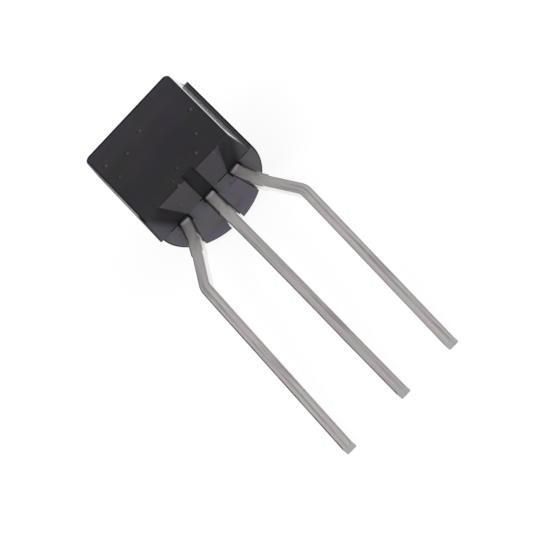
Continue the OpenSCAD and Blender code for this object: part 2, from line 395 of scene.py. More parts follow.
class Solid:
    """A closed mesh in the design frame while it is made."""

    def __init__(self, name: str, mesh: bpy.types.Mesh) -> None:
        """Makes an object of the mesh."""
        self.item = bpy.data.objects.new(name, mesh)
        bpy.context.scene.collection.objects.link(self.item)

    @classmethod
    def loft(cls, name: str, loops: Sequence[Sequence[Point]]) -> "Solid":
        """Skins closed loops of equal length and caps both ends.

        Args:
            name: The piece's name.
            loops: The loops in order, each a list of points.

        Returns:
            The solid.
        """
        count = len(loops[0])
        faces = [
            (
                row * count + i,
                row * count + (i + 1) % count,
                (row + 1) * count + (i + 1) % count,
                (row + 1) * count + i,
            )
            for row in range(len(loops) - 1)
            for i in range(count)
        ]
        faces.append(tuple(range(count)))
        faces.append(tuple(range((len(loops) - 1) * count, len(loops) * count)))
        mesh = bpy.data.meshes.new(name)
        mesh.from_pydata([point for loop in loops for point in loop], [], faces)
        solid = cls(name, mesh)
        solid.tidy()
        return solid

    @classmethod
    def block(cls, name: str, low: Point, high: Point) -> "Solid":
        """A plain box between two corners, for cutting with."""
        ring = [(low[0], low[1]), (high[0], low[1]), (high[0], high[1]), (low[0], high[1])]
        return cls.loft(name, [[(x, y, z) for x, y in ring] for z in (low[2], high[2])])

    @classmethod
    def from_node(cls, name: str, node: str, placement: Placement) -> "Solid":
        """A merged copy of a CAD node's mesh in the design frame.

        Args:
            name: The piece's name.
            node: The CAD node.
            placement: Where the design frame lies.

        Returns:
            The solid.
        """
        mesh = frame["nodes"][node].data.copy()
        mesh.transform(placement.matrix().inverted())
        mesh.materials.clear()
        solid = cls(name, mesh)
        solid.tidy(LOOSE)
        return solid

    def edit(self, change: Callable[[bmesh.types.BMesh], None]) -> None:
        """Makes a change on the mesh through bmesh.

        Args:
            change: What is done to the mesh.
        """
        work = bmesh.new()
        work.from_mesh(self.item.data)
        change(work)
        work.to_mesh(self.item.data)
        work.free()

    def tidy(self, reach: float = COINCIDENT) -> None:
        """Merges doubled points and turns every face outwards."""

        def change(work: bmesh.types.BMesh) -> None:
            """Merges, then recalculates."""
            bmesh.ops.remove_doubles(work, verts=work.verts, dist=reach)
            bmesh.ops.recalc_face_normals(work, faces=work.faces)

        self.edit(change)

    def settle(self) -> None:
        """Merges what the cuts left nearly touching, and drops faces without area."""

        def change(work: bmesh.types.BMesh) -> None:
            """Merges, splits the many-sided faces and drops the thin ones.

            Args:
                work: The mesh.
            """
            bmesh.ops.remove_doubles(work, verts=work.verts, dist=SLIVER)
            bmesh.ops.dissolve_degenerate(work, dist=SLIVER, edges=work.edges)
            bmesh.ops.triangulate(work, faces=[face for face in work.faces if len(face.verts) > 4])
            bmesh.ops.dissolve_degenerate(work, dist=SLIVER, edges=work.edges)
            bmesh.ops.recalc_face_normals(work, faces=work.faces)
            open_edges = sum(not edge.is_manifold for edge in work.edges)
            LOG.info("%s: %d open edges", self.item.name, open_edges)

        self.edit(change)

    def grow(self, distance: float) -> None:
        """Moves every point outwards by a small distance."""

        def change(work: bmesh.types.BMesh) -> None:
            """Moves the points along their normals."""
            work.normal_update()
            for vert in work.verts:
                vert.co += vert.normal * distance

        self.edit(change)

    def keep_above(self, height: float) -> None:
        """Cuts off what is below a height, and closes the cut.

        Args:
            height: The height in the design frame.
        """

        def change(work: bmesh.types.BMesh) -> None:
            """Cuts along the plane and fills it.

            Args:
                work: The mesh.
            """
            geometry = work.verts[:] + work.edges[:] + work.faces[:]
            cut = bmesh.ops.bisect_plane(
                work, geom=geometry, plane_co=(0, 0, height), plane_no=(0, 0, 1), clear_inner=True
            )
            rim = [part for part in cut["geom_cut"] if isinstance(part, bmesh.types.BMEdge)]
            bmesh.ops.contextual_create(work, geom=rim)

        self.edit(change)
        self.tidy()

    def carve(self, tool: "Solid", carving: Carving) -> None:
        """Cuts the tool out of this solid or joins it on, and removes the tool.

        Args:
            tool: The other solid.
            carving: What is done with it.
        """
        modifier = self.item.modifiers.new("carving", "BOOLEAN")
        modifier.solver = "EXACT"
        modifier.operation = carving.value
        modifier.object = tool.item
        self.apply_modifier()
        tool.discard()

    def apply_modifier(self) -> None:
        """Turns what the modifier makes into the plain mesh, and removes the modifier."""
        bpy.context.view_layer.update()
        graph = bpy.context.evaluated_depsgraph_get()
        mesh = bpy.data.meshes.new_from_object(self.item.evaluated_get(graph))
        self.item.modifiers.clear()
        self.item.data = mesh

    def copy(self, name: str) -> "Solid":
        """Another solid of the same shape."""
        return Solid(name, self.item.data.copy())

    def discard(self) -> None:
        """Removes the solid."""
        bpy.data.objects.remove(self.item)

    def set_down(self, placement: Placement, finish: bpy.types.Material) -> bpy.types.Object:
        """Lays the solid in the row frame with its finish on.

        Args:
            placement: Where the design frame lies.
            finish: The material.

        Returns:
            The finished piece, with its place in its mesh.
        """
        mesh = self.item.data
        mesh.transform(placement.matrix())
        mesh.materials.clear()
        mesh.materials.append(finish)
        mesh.polygons.foreach_set("material_index", [0] * len(mesh.polygons))
        mesh.polygons.foreach_set("use_smooth", [True] * len(mesh.polygons))
        mesh.set_sharp_from_angle(angle=SHARP_ANGLE)
        return self.item


def steps(start: float, end: float, count: int) -> list[float]:
    """Evenly spaced values from start to end, both included."""
    return [start + (end - start) * i / count for i in range(count + 1)]


def angles(start: float, end: float, count: int) -> list[float]:
    """Evenly spaced angles, given in degrees and returned in radians."""
    return [math.radians(angle) for angle in steps(start, end, count)]


def smooth(share: float) -> float:
    """A smooth rise from 0 to 1."""
    held = min(max(share, 0.0), 1.0)
    return held * held * (3 - 2 * held)


def arc(centre: Pair, radius: float, start: float, count: int) -> list[Pair]:
    """A quarter turn anticlockwise.

    Args:
        centre: The arc's centre.
        radius: Its radius.
        start: The angle at which it begins, in degrees.
        count: How many steps it has.

    Returns:
        Its points, both ends included.
    """
    return [
        (centre[0] + radius * math.cos(angle), centre[1] + radius * math.sin(angle))
        for angle in angles(start, start + 90, count)
    ]


# ---------------------------------------------------------------- finishes


@dataclass(frozen=True)
class Surface:
    """The plain numbers of one surface finish."""

    colour: Colour
    roughness: float
    specular: float = 0.5


@dataclass(frozen=True)
class Spot:
    """A point of a surface, in the design frame."""

    recipe: Recipe
    place: Link
    x: Value
    y: Value
    z: Value

    @classmethod
    def of(cls, recipe: Recipe, placement: Placement) -> "Spot":
        """The point that a recipe shades."""
        place = placement.design_place(recipe)
        return cls(recipe, place, *recipe.axes(place))

    @property
    def depth(self) -> Value:
        """The distance from the parting plane towards the flat."""
        return -self.y


@dataclass(frozen=True)
class Zone:
    """A smooth step along one measure: where it begins and is complete, and how high it is."""

    start: float
    end: float
    height: float = 1.0

    def on(self, measure: Value) -> Value:
        """The step, from 0 to its height."""
        step = measure.ramp(self.start, self.end)
        return step if self.height == 1 else step * self.height


@dataclass(frozen=True)
class Specks:
    """Small round specks: their radius as a share of a cell, and the share of empty cells."""

    size: float
    rare: float
    cells: float = 2.3

    def on(self, recipe: Recipe, place: Link) -> Value:
        """Scatters the specks: 1 on a speck and 0 off it."""
        return recipe.specks(place, self.cells, self.size, self.rare)


@dataclass(frozen=True)
class Noise:
    """A noise: its features to a millimetre, overall or on each axis, its layers and its seed."""

    scale: Union[float, Triple]
    detail: float
    seed: float

    def on(self, recipe: Recipe, place: Link) -> Value:
        """Lays the noise over a surface, from 0 to 1."""
        if isinstance(self.scale, tuple):
            return recipe.streaks(place, self.scale, self.seed, self.detail)
        return recipe.noise(place, self.scale, self.detail, self.seed)


@dataclass(frozen=True)
class CompoundFinish:
    """Black moulding compound: a polished flat and pockets, and fine spark-eroded faces."""

    polished: Surface = Surface((0.0245, 0.0220, 0.0268), 0.50, 0.24)
    eroded: Surface = Surface((0.0405, 0.0355, 0.0475), 0.58, 0.66)
    # The polished pockets' colour, darkened further as painted shade in these hollows.
    pocket_colour_and_shade: Colour = (0.0122, 0.0112, 0.0152)
    # Nearly black: painted shade in the channels behind the leads.
    channel_shade_colour: Colour = (0.004, 0.0035, 0.0045)
    # Lighter than the front's eroded colour: painted sheen from the floor on the back half's
    # lead-side end.
    back_colour_and_sheen: Colour = (0.0970, 0.0890, 0.1085)
    # Near black, painted as shade along the outer edges and in the seams.
    edge: Colour = (0.012, 0.011, 0.013)
    edge_shade_share: float = 0.9
    # Light grey, painted as a highlight along the flat's left edge.
    edge_highlight: Colour = (0.36, 0.35, 0.36)
    green: Colour = (0.94, 1.01, 0.97)
    purple: Colour = (1.05, 0.965, 1.08)
    brown: Colour = (1.05, 1.0, 0.92)
    blue: Colour = (0.95, 0.99, 1.09)
    speck: Colour = (0.13, 0.13, 0.125)
    speck_share: float = 0.5
    dust: Specks = Specks(0.19, 0.74)
    # Dark spots set a little beside the dust specks: their painted shadows.
    speck_shadows: Specks = Specks(0.24, 0.74)
    pits: Specks = Specks(0.15, 0.9)
    speck_shadow_offset: Point = (0.06, 0.0, -0.03)
    pit_depth: float = 0.014
    pit_shade: float = 0.4
    speck_shadow_level: float = 0.5
    mottle: float = 0.45
    cloud: Noise = Noise(0.8, 2.0, 3.0)
    grain: Noise = Noise(13.0, 3.0, 7.0)
    grain_height: float = 0.0035
    polished_grain: float = 0.35
    fine_grain: Noise = Noise(41.6, 2.0, 9.0)
    fine_share: float = 0.3
    roughness_spread: float = 0.1
    hue: Noise = Noise(1.1, 1.5, 14.0)
    hue_change: Zone = Zone(0.38, 0.62)
    warmth: Noise = Noise(0.8, 1.5, 31.0)
    warmth_change: Zone = Zone(0.4, 0.6)
    # Where one face ends and the next begins, by depth.
    flat_edge: float = 0.01
    back_edge: Zone = Zone(0.0, 0.01)
    front_edge: Zone = Zone(-0.005, 0.005)
    # The polished side face: where it is and where it shines.
    side_face: Zone = Zone(-0.03, -0.015)
    right_half: Zone = Zone(0.0, 0.1)
    side_lit: Zone = Zone(0.3, 0.6)
    side_lit_low: Zone = Zone(0.1, 0.9)
    side_low: Zone = Zone(0.35, 0.15)
    side_lean: Zone = Zone(0.2, 0.5, 0.05)
    side_roughness: float = 0.12
    shine_smoothing: float = 0.85
    coat_roughness: float = 0.05
    coat_ior: float = 1.8
    # The pockets' painted shade: darkest by the leads, lighter towards the flat and on the right.
    pocket_least: float = 0.6
    pocket_further: Zone = Zone(0.0, 0.5, 0.45)
    pocket_right: Zone = Zone(0.6, 1.6, 0.5)
    pocket_right_depth: Zone = Zone(0.1, 0.6)
    mouth_depth: Zone = Zone(0.75, 1.15)
    mouth_across: Zone = Zone(0.6, 0.9)
    # The pockets' and channels' soft outlines.
    pocket_blur: float = 0.04
    right_blur: Zone = Zone(0.35, 1.1, 0.24)
    right_side: Zone = Zone(0.0, 0.5)
    inner_play: float = 0.01
    outer_fade: Zone = Zone(0.22, -0.22)
    middle_fade: Zone = Zone(0.025, -0.015)
    pocket_low: Zone = Zone(0.8, 0.6)
    channel_play: float = 0.008
    channel_fade: Zone = Zone(0.012, 0.0)
    channel_above: Zone = Zone(0.004, 0.014)
    channel_below: Zone = Zone(0.02, 0.008)
    # The flat's painted light and shade.
    flat_steps: tuple[Zone, ...] = (Zone(1.9, 2.3, 0.12), Zone(3.0, 3.5, 0.2), Zone(3.8, 4.2, 0.18))
    above_pocket_x: float = 0.05
    above_pocket_across: Zone = Zone(0.40, 0.16, 0.46)
    above_pocket_up: Zone = Zone(0.6, 0.16)
    low_edge: Zone = Zone(0.09, 0.03, 0.3)
    low_edge_across: Zone = Zone(1.5, 1.4)
    right_edge: Zone = Zone(-0.13, -0.07, 0.2)
    left_edge: Zone = Zone(-0.105, -0.08, 0.55)
    # The painted highlight along the flat's left edge.
    highlight_side: Zone = Zone(-0.048, -0.032)
    highlight_front: Zone = Zone(-0.045, -0.03)
    highlight_from: Zone = Zone(0.42, 0.6)
    highlight_to: Zone = Zone(4.3, 4.1)
    highlight_least: float = 0.4
    highlight_more: Zone = Zone(3.4, 1.8, 0.5)
    # The eroded faces' painted light and shade.
    lead_side: Zone = Zone(0.3, 0.2)
    back_steps: tuple[Zone, ...] = (Zone(0.02, 0.5, 0.22), Zone(1.5, 2.1, 0.3))
    back_loss: float = 0.2
    round_loss: float = 0.45
    shoulder_depth: Zone = Zone(0.3, 1.1, 0.35)
    left_shoulder: Zone = Zone(1.8, 2.2)
    left_gain: float = 0.52
    right_shoulder: Zone = Zone(1.5, 1.7)
    right_loss: float = 0.15
    ledge_across: Zone = Zone(2.13, 2.15)
    ledge_depth: Zone = Zone(0.02, 0.01)
    stripe_x: float = 2.205
    stripe: Zone = Zone(0.06, 0.02, 0.7)
    stripe_top: Zone = Zone(4.3, 4.5, 1.2)
    stripe_loss: float = 0.35
    # The painted shade along the edges and seams: each line's place is measured from the edge that
    # it follows.
    line_by_flat: Zone = Zone(-0.09, -0.04)
    line_top: Zone = Zone(-0.12, -0.07)
    line_end: Zone = Zone(0.07, 0.04)
    line_left: Zone = Zone(-0.06, -0.035)
    line_left_low: Zone = Zone(0.45, 0.35)
    line_inner: tuple[Zone, ...] = (Zone(-0.10, -0.08), Zone(-0.045, -0.055, 0.7))
    line_ledge: Zone = Zone(-0.065, -0.045)
    line_ledge_depth: Zone = Zone(0.03, 0.01)
    line_rim: Zone = Zone(-0.075, -0.045)
    line_crown: Zone = Zone(0.09, 0.05)
    seam_y: float = -0.01
    seam_across: Zone = Zone(0.035, 0.018)
    seam_up: Zone = Zone(0.14, 0.08)
    seam_fade: float = 0.04
    seam_shade_lines: tuple[Triple, ...] = (
        (-1.9, -1.0, 1.0),
        (-0.44, -0.2, 1.0),
        (0.52, 1.02, 1.0),
        (1.55, 2.05, 0.6),
    )

    def material(self, placement: Placement, case: "MouldedCase") -> bpy.types.Material:
        """Writes the material.

        Args:
            placement: Where the design frame lies.
            case: The case, whose sizes say where the flat, the pockets and the channels are.

        Returns:
            The material.
        """
        recipe = Recipe("moulding_compound")
        spot = Spot.of(recipe, placement)
        place, depth = spot.place, spot.depth
        flat = depth.ramp(case.front_depth - case.flat_fillet, case.front_depth - self.flat_edge)
        back = self.back_edge.on(spot.y)
        pocket = self._pockets(case, spot)
        channel = self._channels(case, spot) * back
        eroded = 1 - recipe.largest(flat, pocket, channel)
        right = self._right_side(case, spot) * (1 - back) * (1 - flat)
        shine = right * self._lit(spot)
        # Painted shade along the outer edges and in the seams; it also turns Metallic up there.
        outline = self._painted_edge_shade(case, spot, back) * self.edge_shade_share
        # Where the painted highlight runs along the flat's left edge.
        edge_highlight = self._painted_edge_highlight(case, spot)

        cloud, grain = self.cloud.on(recipe, place), self.grain.on(recipe, place)
        fine = self.fine_grain.on(recipe, place)
        dust, pits = self.dust.on(recipe, place), self.pits.on(recipe, place)
        # The dust specks' painted shadows, shifted a little beside them.
        speck_shadows = self.speck_shadows.on(recipe, recipe.mapped(place, shift=self.speck_shadow_offset))
        coarse = self.polished_grain + (1 - self.polished_grain) * eroded
        texture = (grain * coarse + fine * self.fine_share) * (1 - self.shine_smoothing * shine)
        lean = right * (case.front_depth - depth) * self.side_lean.on(depth)
        normal = recipe.bump(texture * self.grain_height - pits * self.pit_depth + lean)

        # Painted shade in the pockets, and nearly black painted shade in the channels.
        deep = recipe.blend(channel, self._pocket_colour_and_shade(spot), self.channel_shade_colour)
        hollow = recipe.largest(pocket * (1 - flat), channel)
        polished = recipe.blend(hollow, self.polished.colour, deep)
        # Painted light and shade on the flat.
        polished = recipe.shaded(polished, self._flat_light_and_shade(case, spot, flat))
        plain = recipe.blend(back, self.eroded.colour, self.back_colour_and_sheen)
        plain = recipe.shaded(plain, self._eroded_light_and_shade(spot, back))
        tint = self._tint(recipe, place)
        mottle = 1 + cloud.spread(self.mottle) + grain.spread(self.mottle)
        mottle = mottle * (1 - self.pit_shade * pits) * (1 - self.speck_shadow_level * speck_shadows)
        shaders = []
        for face, colour in ((self.polished, polished), (self.eroded, plain)):
            colour = recipe.tinted(recipe.shaded(colour, mottle), tint)
            colour = recipe.blend(dust * self.speck_share, colour, self.speck)
            # The painted shade along the edges and seams.
            colour = recipe.blend(outline, colour, self.edge)
            # The painted highlight along the flat's left edge.
            colour = recipe.blend(edge_highlight, colour, self.edge_highlight)
            rough = face.roughness + cloud.spread(self.roughness_spread)
            shaders.append(
                recipe.principled(
                    {
                        "Base Color": colour,
                        "Metallic": outline,
                        "Roughness": rough - shine * (face.roughness - self.side_roughness),
                        "Specular IOR Level": face.specular,
                        "Coat Weight": shine,
                        "Coat Roughness": self.coat_roughness,
                        "Coat IOR": self.coat_ior,
                        "Normal": normal,
                    }
                )
            )
        mixed = recipe.node("ShaderNodeMixShader", {}, {0: eroded, 1: shaders[0], 2: shaders[1]})
        return recipe.finish(mixed.outputs[0])

    def _right_side(self, case: "MouldedCase", spot: Spot) -> Value:
        """The polished side face on the right, from 0 to 1."""
        return self.side_face.on(case.past_side(spot)) * self.right_half.on(spot.x)

    def _lit(self, spot: Spot) -> Value:
        """How far up its depth a side face shines: from lower down near the lead side."""
        low = self.side_low.on(spot.z)
        return low * self.side_lit_low.on(spot.depth) + (1 - low) * self.side_lit.on(spot.depth)

    def _tint(self, recipe: Recipe, place: Link) -> Link:
        """Two slow changes of hue, one over the other.

        Args:
            recipe: The recipe of the material.
            place: The coordinates.

        Returns:
            What the colour is multiplied by.
        """
        hue = self.hue_change.on(self.hue.on(recipe, place))
        warmth = self.warmth_change.on(self.warmth.on(recipe, place))
        return recipe.tinted(
            recipe.blend(hue, self.green, self.purple), recipe.blend(warmth, self.blue, self.brown)
        )

    def _pocket_colour_and_shade(self, spot: Spot) -> Link:
        """The pockets' colour with painted shade: darkest at the leads, the flat's own at the outer
        mouths.

        Args:
            spot: The point in the design frame.

        Returns:
            The colour.
        """
        depth = spot.depth
        on_right = self.pocket_right.on(spot.x) * self.pocket_right_depth.on(depth)
        tone = self.pocket_least + self.pocket_further.on(depth) + on_right
        deep = spot.recipe.shaded(self.pocket_colour_and_shade, tone)
        mouth = self.mouth_depth.on(depth) * self.mouth_across.on(abs(spot.x))
        return spot.recipe.blend(mouth, deep, self.polished.colour)

    def _flat_light_and_shade(self, case: "MouldedCase", spot: Spot, flat: Value) -> Value:
        """Painted light on the flat towards the top, and painted shade above the middle pocket and
        by its edges.

        Args:
            case: The case, whose sizes say where its parts are.
            spot: The point in the design frame.
            flat: 1 on the flat.

        Returns:
            What the colour is multiplied by.
        """
        x, z = spot.x, spot.z
        tone = sum(step.on(z) for step in self.flat_steps)
        across = self.above_pocket_across.on(abs(x - self.above_pocket_x))
        tone = tone - across * self.above_pocket_up.on(z)
        tone = tone - self.low_edge.on(z - case.end_loss) * self.low_edge_across.on(abs(x))
        tone = tone - self.right_edge.on(x - case.side_at(case.front_depth) + case.mould_shift)
        return 1.0 + flat * (tone - self.left_edge.on(case.past_left(spot)))

    def _painted_edge_highlight(self, case: "MouldedCase", spot: Spot) -> Value:
        """The painted highlight: a light line along the flat's left edge.

        Args:
            case: The case, whose sizes say where its parts are.
            spot: The point in the design frame.

        Returns:
            The share, from 0 to 1.
        """
        z = spot.z
        edge = self.highlight_side.on(case.past_left(spot))
        front = self.highlight_front.on(spot.depth - case.front_depth)
        along = self.highlight_from.on(z) * self.highlight_to.on(z) * (self.highlight_least + self.highlight_more.on(z))
        return edge * front * along

    def _eroded_light_and_shade(self, spot: Spot, back: Value) -> Value:
        """Painted light and shade on the back half's end and round side, the two shoulders and the
        ledge.

        Args:
            spot: The point in the design frame.
            back: 1 on the back half.

        Returns:
            What the colour is multiplied by.
        """
        x, y, z, depth = spot.x, spot.y, spot.z, spot.depth
        end = self.lead_side.on(z)
        # Painted shade by the parting plane, and painted light towards the rim.
        rising = sum(step.on(y) for step in self.back_steps) - self.back_loss
        deeper = self.shoulder_depth.on(depth)
        # The left shoulder painted lighter and the right shoulder painted darker.
        left = (self.left_gain - deeper) * self.left_shoulder.on(-x)
        right = (self.right_loss + deeper) * self.right_shoulder.on(x)
        # A painted light line and a lighter top on the ledge, with painted shade beside them.
        stripe = self.stripe.on(abs(x - self.stripe_x)) + self.stripe_top.on(z) - self.stripe_loss
        ledge = self.ledge_across.on(x) * self.ledge_depth.on(depth) * stripe
        # The back half's round side is painted darker as shade.
        on_back = rising * end - self.round_loss * (1 - end)
        return 1 + back * on_back + (1 - back) * ((left - right) * end + ledge)

    def _painted_edge_shade(self, case: "MouldedCase", spot: Spot, back: Value) -> Value:
        """Painted shade: a dark line along the outer edges and in the open seams.

        Args:
            case: The case, whose sizes say where its parts are.
            spot: The point in the design frame.
            back: 1 on the back half.

        Returns:
            The share, from 0 to 1.
        """
        x, y, z, depth = spot.x, spot.y, spot.z, spot.depth
        recipe = spot.recipe
        rise = depth * case.end_slope
        by_flat = self.line_by_flat.on(depth - case.front_depth)
        top = self.line_top.on(z + rise - case.height) * by_flat
        past_left = case.past_left(spot)
        low_left = recipe.largest(self.line_end.on(z - rise), by_flat * self.line_left_low.on(z))
        left = self.line_left.on(past_left) * low_left
        inner = by_flat
        for zone in self.line_inner:
            inner = inner * zone.on(past_left)
        ledge = self.line_ledge.on(x - case.back_r) * self.line_ledge_depth.on(depth)
        rim = self.line_rim.on(recipe.math("SQRT", x * x + y * y) - case.back_r)
        crown = self.line_crown.on(z - y * case.back_slope)
        lines = [recipe.largest(top, left, inner, ledge) * (1 - back), rim * crown * back]
        at_seam = self.seam_across.on(abs(y - self.seam_y)) * self.seam_up.on(z)
        for start, end, share in self.seam_shade_lines:
            within = x.ramp(start, start + self.seam_fade) * x.ramp(end, end - self.seam_fade)
            lines.append(within * at_seam * share)
        return recipe.largest(*lines)

    def _pockets(self, case: "MouldedCase", spot: Spot) -> Value:
        """Where the polished lead pockets are, which are also painted darker as shade.

        Args:
            case: The case, whose sizes say where its parts are.
            spot: The point in the design frame.

        Returns:
            The share, from 0 to 1.
        """
        x, z, depth = spot.x, spot.z, spot.depth
        side = abs(x)
        blur = self.pocket_blur + self.right_side.on(x) * self.right_blur.on(depth)
        inner = (side - case.outer_pocket_inner(depth) - self.inner_play) / blur
        outer = side - (case.soft_pocket_end + depth * case.soft_pocket_spread)
        outer_pocket = inner.ramp(-1.0, 1.0) * self.outer_fade.on(outer)
        past_middle = abs(x - case.mid_pocket_at(depth)) - case.mid_pocket_half
        low = self.pocket_low.on(z - depth * case.end_slope)
        both = spot.recipe.largest(outer_pocket, self.middle_fade.on(past_middle))
        return both * self.front_edge.on(depth) * low

    def _channels(self, case: "MouldedCase", spot: Spot) -> Value:
        """Where the polished channels behind the leads are, which are painted nearly black as
        shade.

        Args:
            case: The case, whose sizes say where its parts are.
            spot: The point in the design frame.

        Returns:
            The share, from 0 to 1.
        """
        x, y, z = spot.x, spot.y, spot.z
        share = y / case.back_r
        half = case.channel_half_at(share) + self.channel_play
        within = [
            self.channel_fade.on(abs(x - case.channel_centre(row, share)) - half)
            for row in (-1, 0, 1)
        ]
        above = self.channel_above.on(z - y * case.back_slope)
        below = self.channel_below.on(z - case.channel_top_at(share))
        return spot.recipe.largest(*within) * above * below


@dataclass(frozen=True)
class TinFinish:
    """Dull tin plating on the lead strip, with marks along it and painted shade on its corners."""

    colour: Colour = (0.755, 0.725, 0.72)
    green: Colour = (0.72, 0.715, 0.68)
    rose: Colour = (0.775, 0.70, 0.72)
    # Near white on the flanks: a painted reflection of the pale floor.
    flank_reflection: Colour = (0.93, 0.91, 0.90)
    cut: Colour = (0.358, 0.346, 0.340)
    # Near black: painted shade on the flanks inside the channels, and a painted shadow at the exit
    # from the case.
    lead_shade_colour: Colour = (0.03, 0.028, 0.03)
    streak: Colour = (0.46, 0.43, 0.44)
    specks: Specks = Specks(0.14, 0.82, 2.6)
    speck_share: float = 0.6
    # The colour of the painted shade along the lead's corners.
    corner: Colour = (0.17, 0.16, 0.17)
    roughness: float = 0.4
    root_tint: Colour = (0.99, 0.965, 1.03)
    root_dulling: float = 0.15
    mark_height: float = 0.003
    green_patches: Zone = Zone(0.45, 0.62)
    rosy_patches: Zone = Zone(0.46, 0.62)
    streaks: Zone = Zone(0.54, 0.7, 0.5)
    smears: Zone = Zone(0.46, 0.66, 0.3)
    breaks: Zone = Zone(0.38, 0.58, 0.5)
    grain_spread: float = 0.2
    scratch_spread: float = 0.32
    mark_noise: Noise = Noise((7.0, 7.0, 0.55), 3.0, 2.0)
    patch_noise: Noise = Noise(0.75, 1.5, 5.0)
    grain_noise: Noise = Noise(16.0, 2.0, 8.0)
    rosy_noise: Noise = Noise(0.6, 1.5, 11.0)
    scratch_noise: Noise = Noise((18.0, 18.0, 0.45), 2.0, 27.0)
    smear_noise: Noise = Noise((5.0, 5.0, 1.6), 2.0, 52.0)
    corner_shade_noise: Noise = Noise((1.0, 1.0, 2.2), 2.0, 21.0)
    break_noise: Noise = Noise((0.5, 0.5, 0.8), 2.0, 33.0)
    line_noise: Noise = Noise(0.22, 1.0, 40.0)
    grain_height: float = 0.5
    grain_roughness: float = 0.16
    patch_roughness: float = 0.1
    # The painted shade on the corners: at least, more where a noise rises, and more on the left of
    # the row and lead.
    least_corner_shade: float = 0.45
    more_corner_shade: float = 0.6
    least_corner: float = 0.55
    left_corner: float = 0.5
    left_lead_corner: float = 0.2
    # The drawn line: where it runs on the middle, left and right leads, and how clear it is.
    line_wander: float = 0.25
    line_x: float = 0.06
    line_left_shift: float = 0.075
    line_right_shift: float = 0.03
    least_whole: float = 0.5
    middle_share: float = 0.45
    # Across the row: the outer leads, and where the painted shade on the flanks reaches further or
    # less far.
    outer_leads: Zone = Zone(0.6, 0.9)
    right_of_middle: Zone = Zone(-0.1, 0.1, 0.55)
    outer_loss: Zone = Zone(1.3, 1.5, 0.6)
    # Along a lead: how far from the case each look reaches.
    lower_part: Zone = Zone(3.0, 4.0, 0.14)
    upper_loss: float = 0.07
    marked_from: Zone = Zone(2.0, 3.5)
    smeared_to: Zone = Zone(1.6, 1.1)
    root: Zone = Zone(0.95, 0.35)
    # A band just below the exit with Metallic taken down: a painted highlight.
    exit_highlight: Zone = Zone(0.26, 0.17, 0.26)
    exit_shadow: Zone = Zone(0.10, 0.045, 0.93)
    flank_shade_reach: float = 0.8
    flank_shade_fade: Zone = Zone(0.12, -0.06)
    # Over the section: flanks, corners and the drawn line, measured from the sides or the line.
    flank: Zone = Zone(-0.012, -0.004)
    corner_across: Zone = Zone(-0.065, -0.035)
    corner_through: Zone = Zone(-0.045, -0.02)
    left_edge: Zone = Zone(0.05, -0.05)
    cut_end: Zone = Zone(0.001, 0.004, 0.85)
    line: Zone = Zone(0.06, 0.015, 0.26)
    band_in: Zone = Zone(0.03, 0.08)
    band_out: Zone = Zone(0.15, 0.11, 0.1)

    def material(self, placement: Placement, strip: "Strip") -> bpy.types.Material:
        """Writes the material, which follows each strip's own run and width.

        Args:
            placement: Where the design frame lies.
            strip: The strip's sizes.

        Returns:
            The material.
        """
        recipe = Recipe("tinned_copper")
        spot = Spot.of(recipe, placement)
        own = recipe.attribute("strip").outputs["Vector"]
        across, through, run = recipe.axes(own)
        drawn_in = Value(recipe, recipe.attribute("shrink").outputs["Fac"])
        sided, on_right = self.outer_leads.on(abs(spot.x)), self.outer_leads.on(spot.x)

        long_marks = self.mark_noise.on(recipe, own)
        patches = self.patch_noise.on(recipe, own)
        grain = self.grain_noise.on(recipe, own)
        rosy = self.rosy_noise.on(recipe, own)
        scratches = self.scratch_noise.on(recipe, own)
        smears = self.smear_noise.on(recipe, own)

        colour = recipe.blend(self.green_patches.on(patches), self.colour, self.green)
        colour = recipe.blend(self.rosy_patches.on(rosy), colour, self.rose)
        colour = recipe.blend(self.streaks.on(long_marks), colour, self.streak)
        specks = self.specks.on(recipe, own) * self.speck_share
        colour = recipe.blend(specks, colour, self.streak)
        streaky = 1 + scratches.spread(self.scratch_spread)
        streaky = streaky * (1 + grain.spread(self.grain_spread))
        lower_lighter = 1 + sided * (self.lower_part.on(run) - self.upper_loss)
        lines = self._drawn_lines(spot, across, run, sided, on_right)
        colour = recipe.shaded(colour, streaky * lower_lighter * lines)

        past_side, past_face = abs(across) - strip.width / 2, abs(through) - strip.thickness / 2
        flank = self.flank.on(past_side)
        # The painted reflection on the lead's flanks.
        colour = recipe.blend(flank, colour, self.flank_reflection)
        # Painted shade along the lead's corners, stronger on the left.
        by_corner = self.corner_across.on(past_side) * self.corner_through.on(past_face)
        corner_shade_spread = self.least_corner_shade + self.more_corner_shade * self.corner_shade_noise.on(recipe, own)
        leftmost = self.left_corner * (1 - on_right) + self.left_lead_corner * (sided - on_right)
        sharp = self.least_corner + self.left_edge.on(across) * leftmost
        colour = recipe.blend(by_corner * corner_shade_spread * sharp, colour, self.corner)
        colour = recipe.blend(self.cut_end.on(drawn_in), colour, self.cut)

        # Painted shade on the flanks where they run in the channels, with Metallic taken down
        # there.
        reach = self.flank_shade_reach + self.right_of_middle.on(spot.x) - self.outer_loss.on(abs(spot.x))
        flank_shade = flank * self.flank_shade_fade.on(run - reach)
        colour = recipe.blend(flank_shade, colour, self.lead_shade_colour)
        colour = recipe.shaded(colour, 1 - self.smears.on(smears) * self.smeared_to.on(run))
        root = self.root.on(run)
        colour = recipe.tinted(colour, recipe.blend(root, (1.0, 1.0, 1.0), self.root_tint))
        # A painted shadow just below the exit from the case.
        colour = recipe.blend(self.exit_shadow.on(run), colour, self.lead_shade_colour)
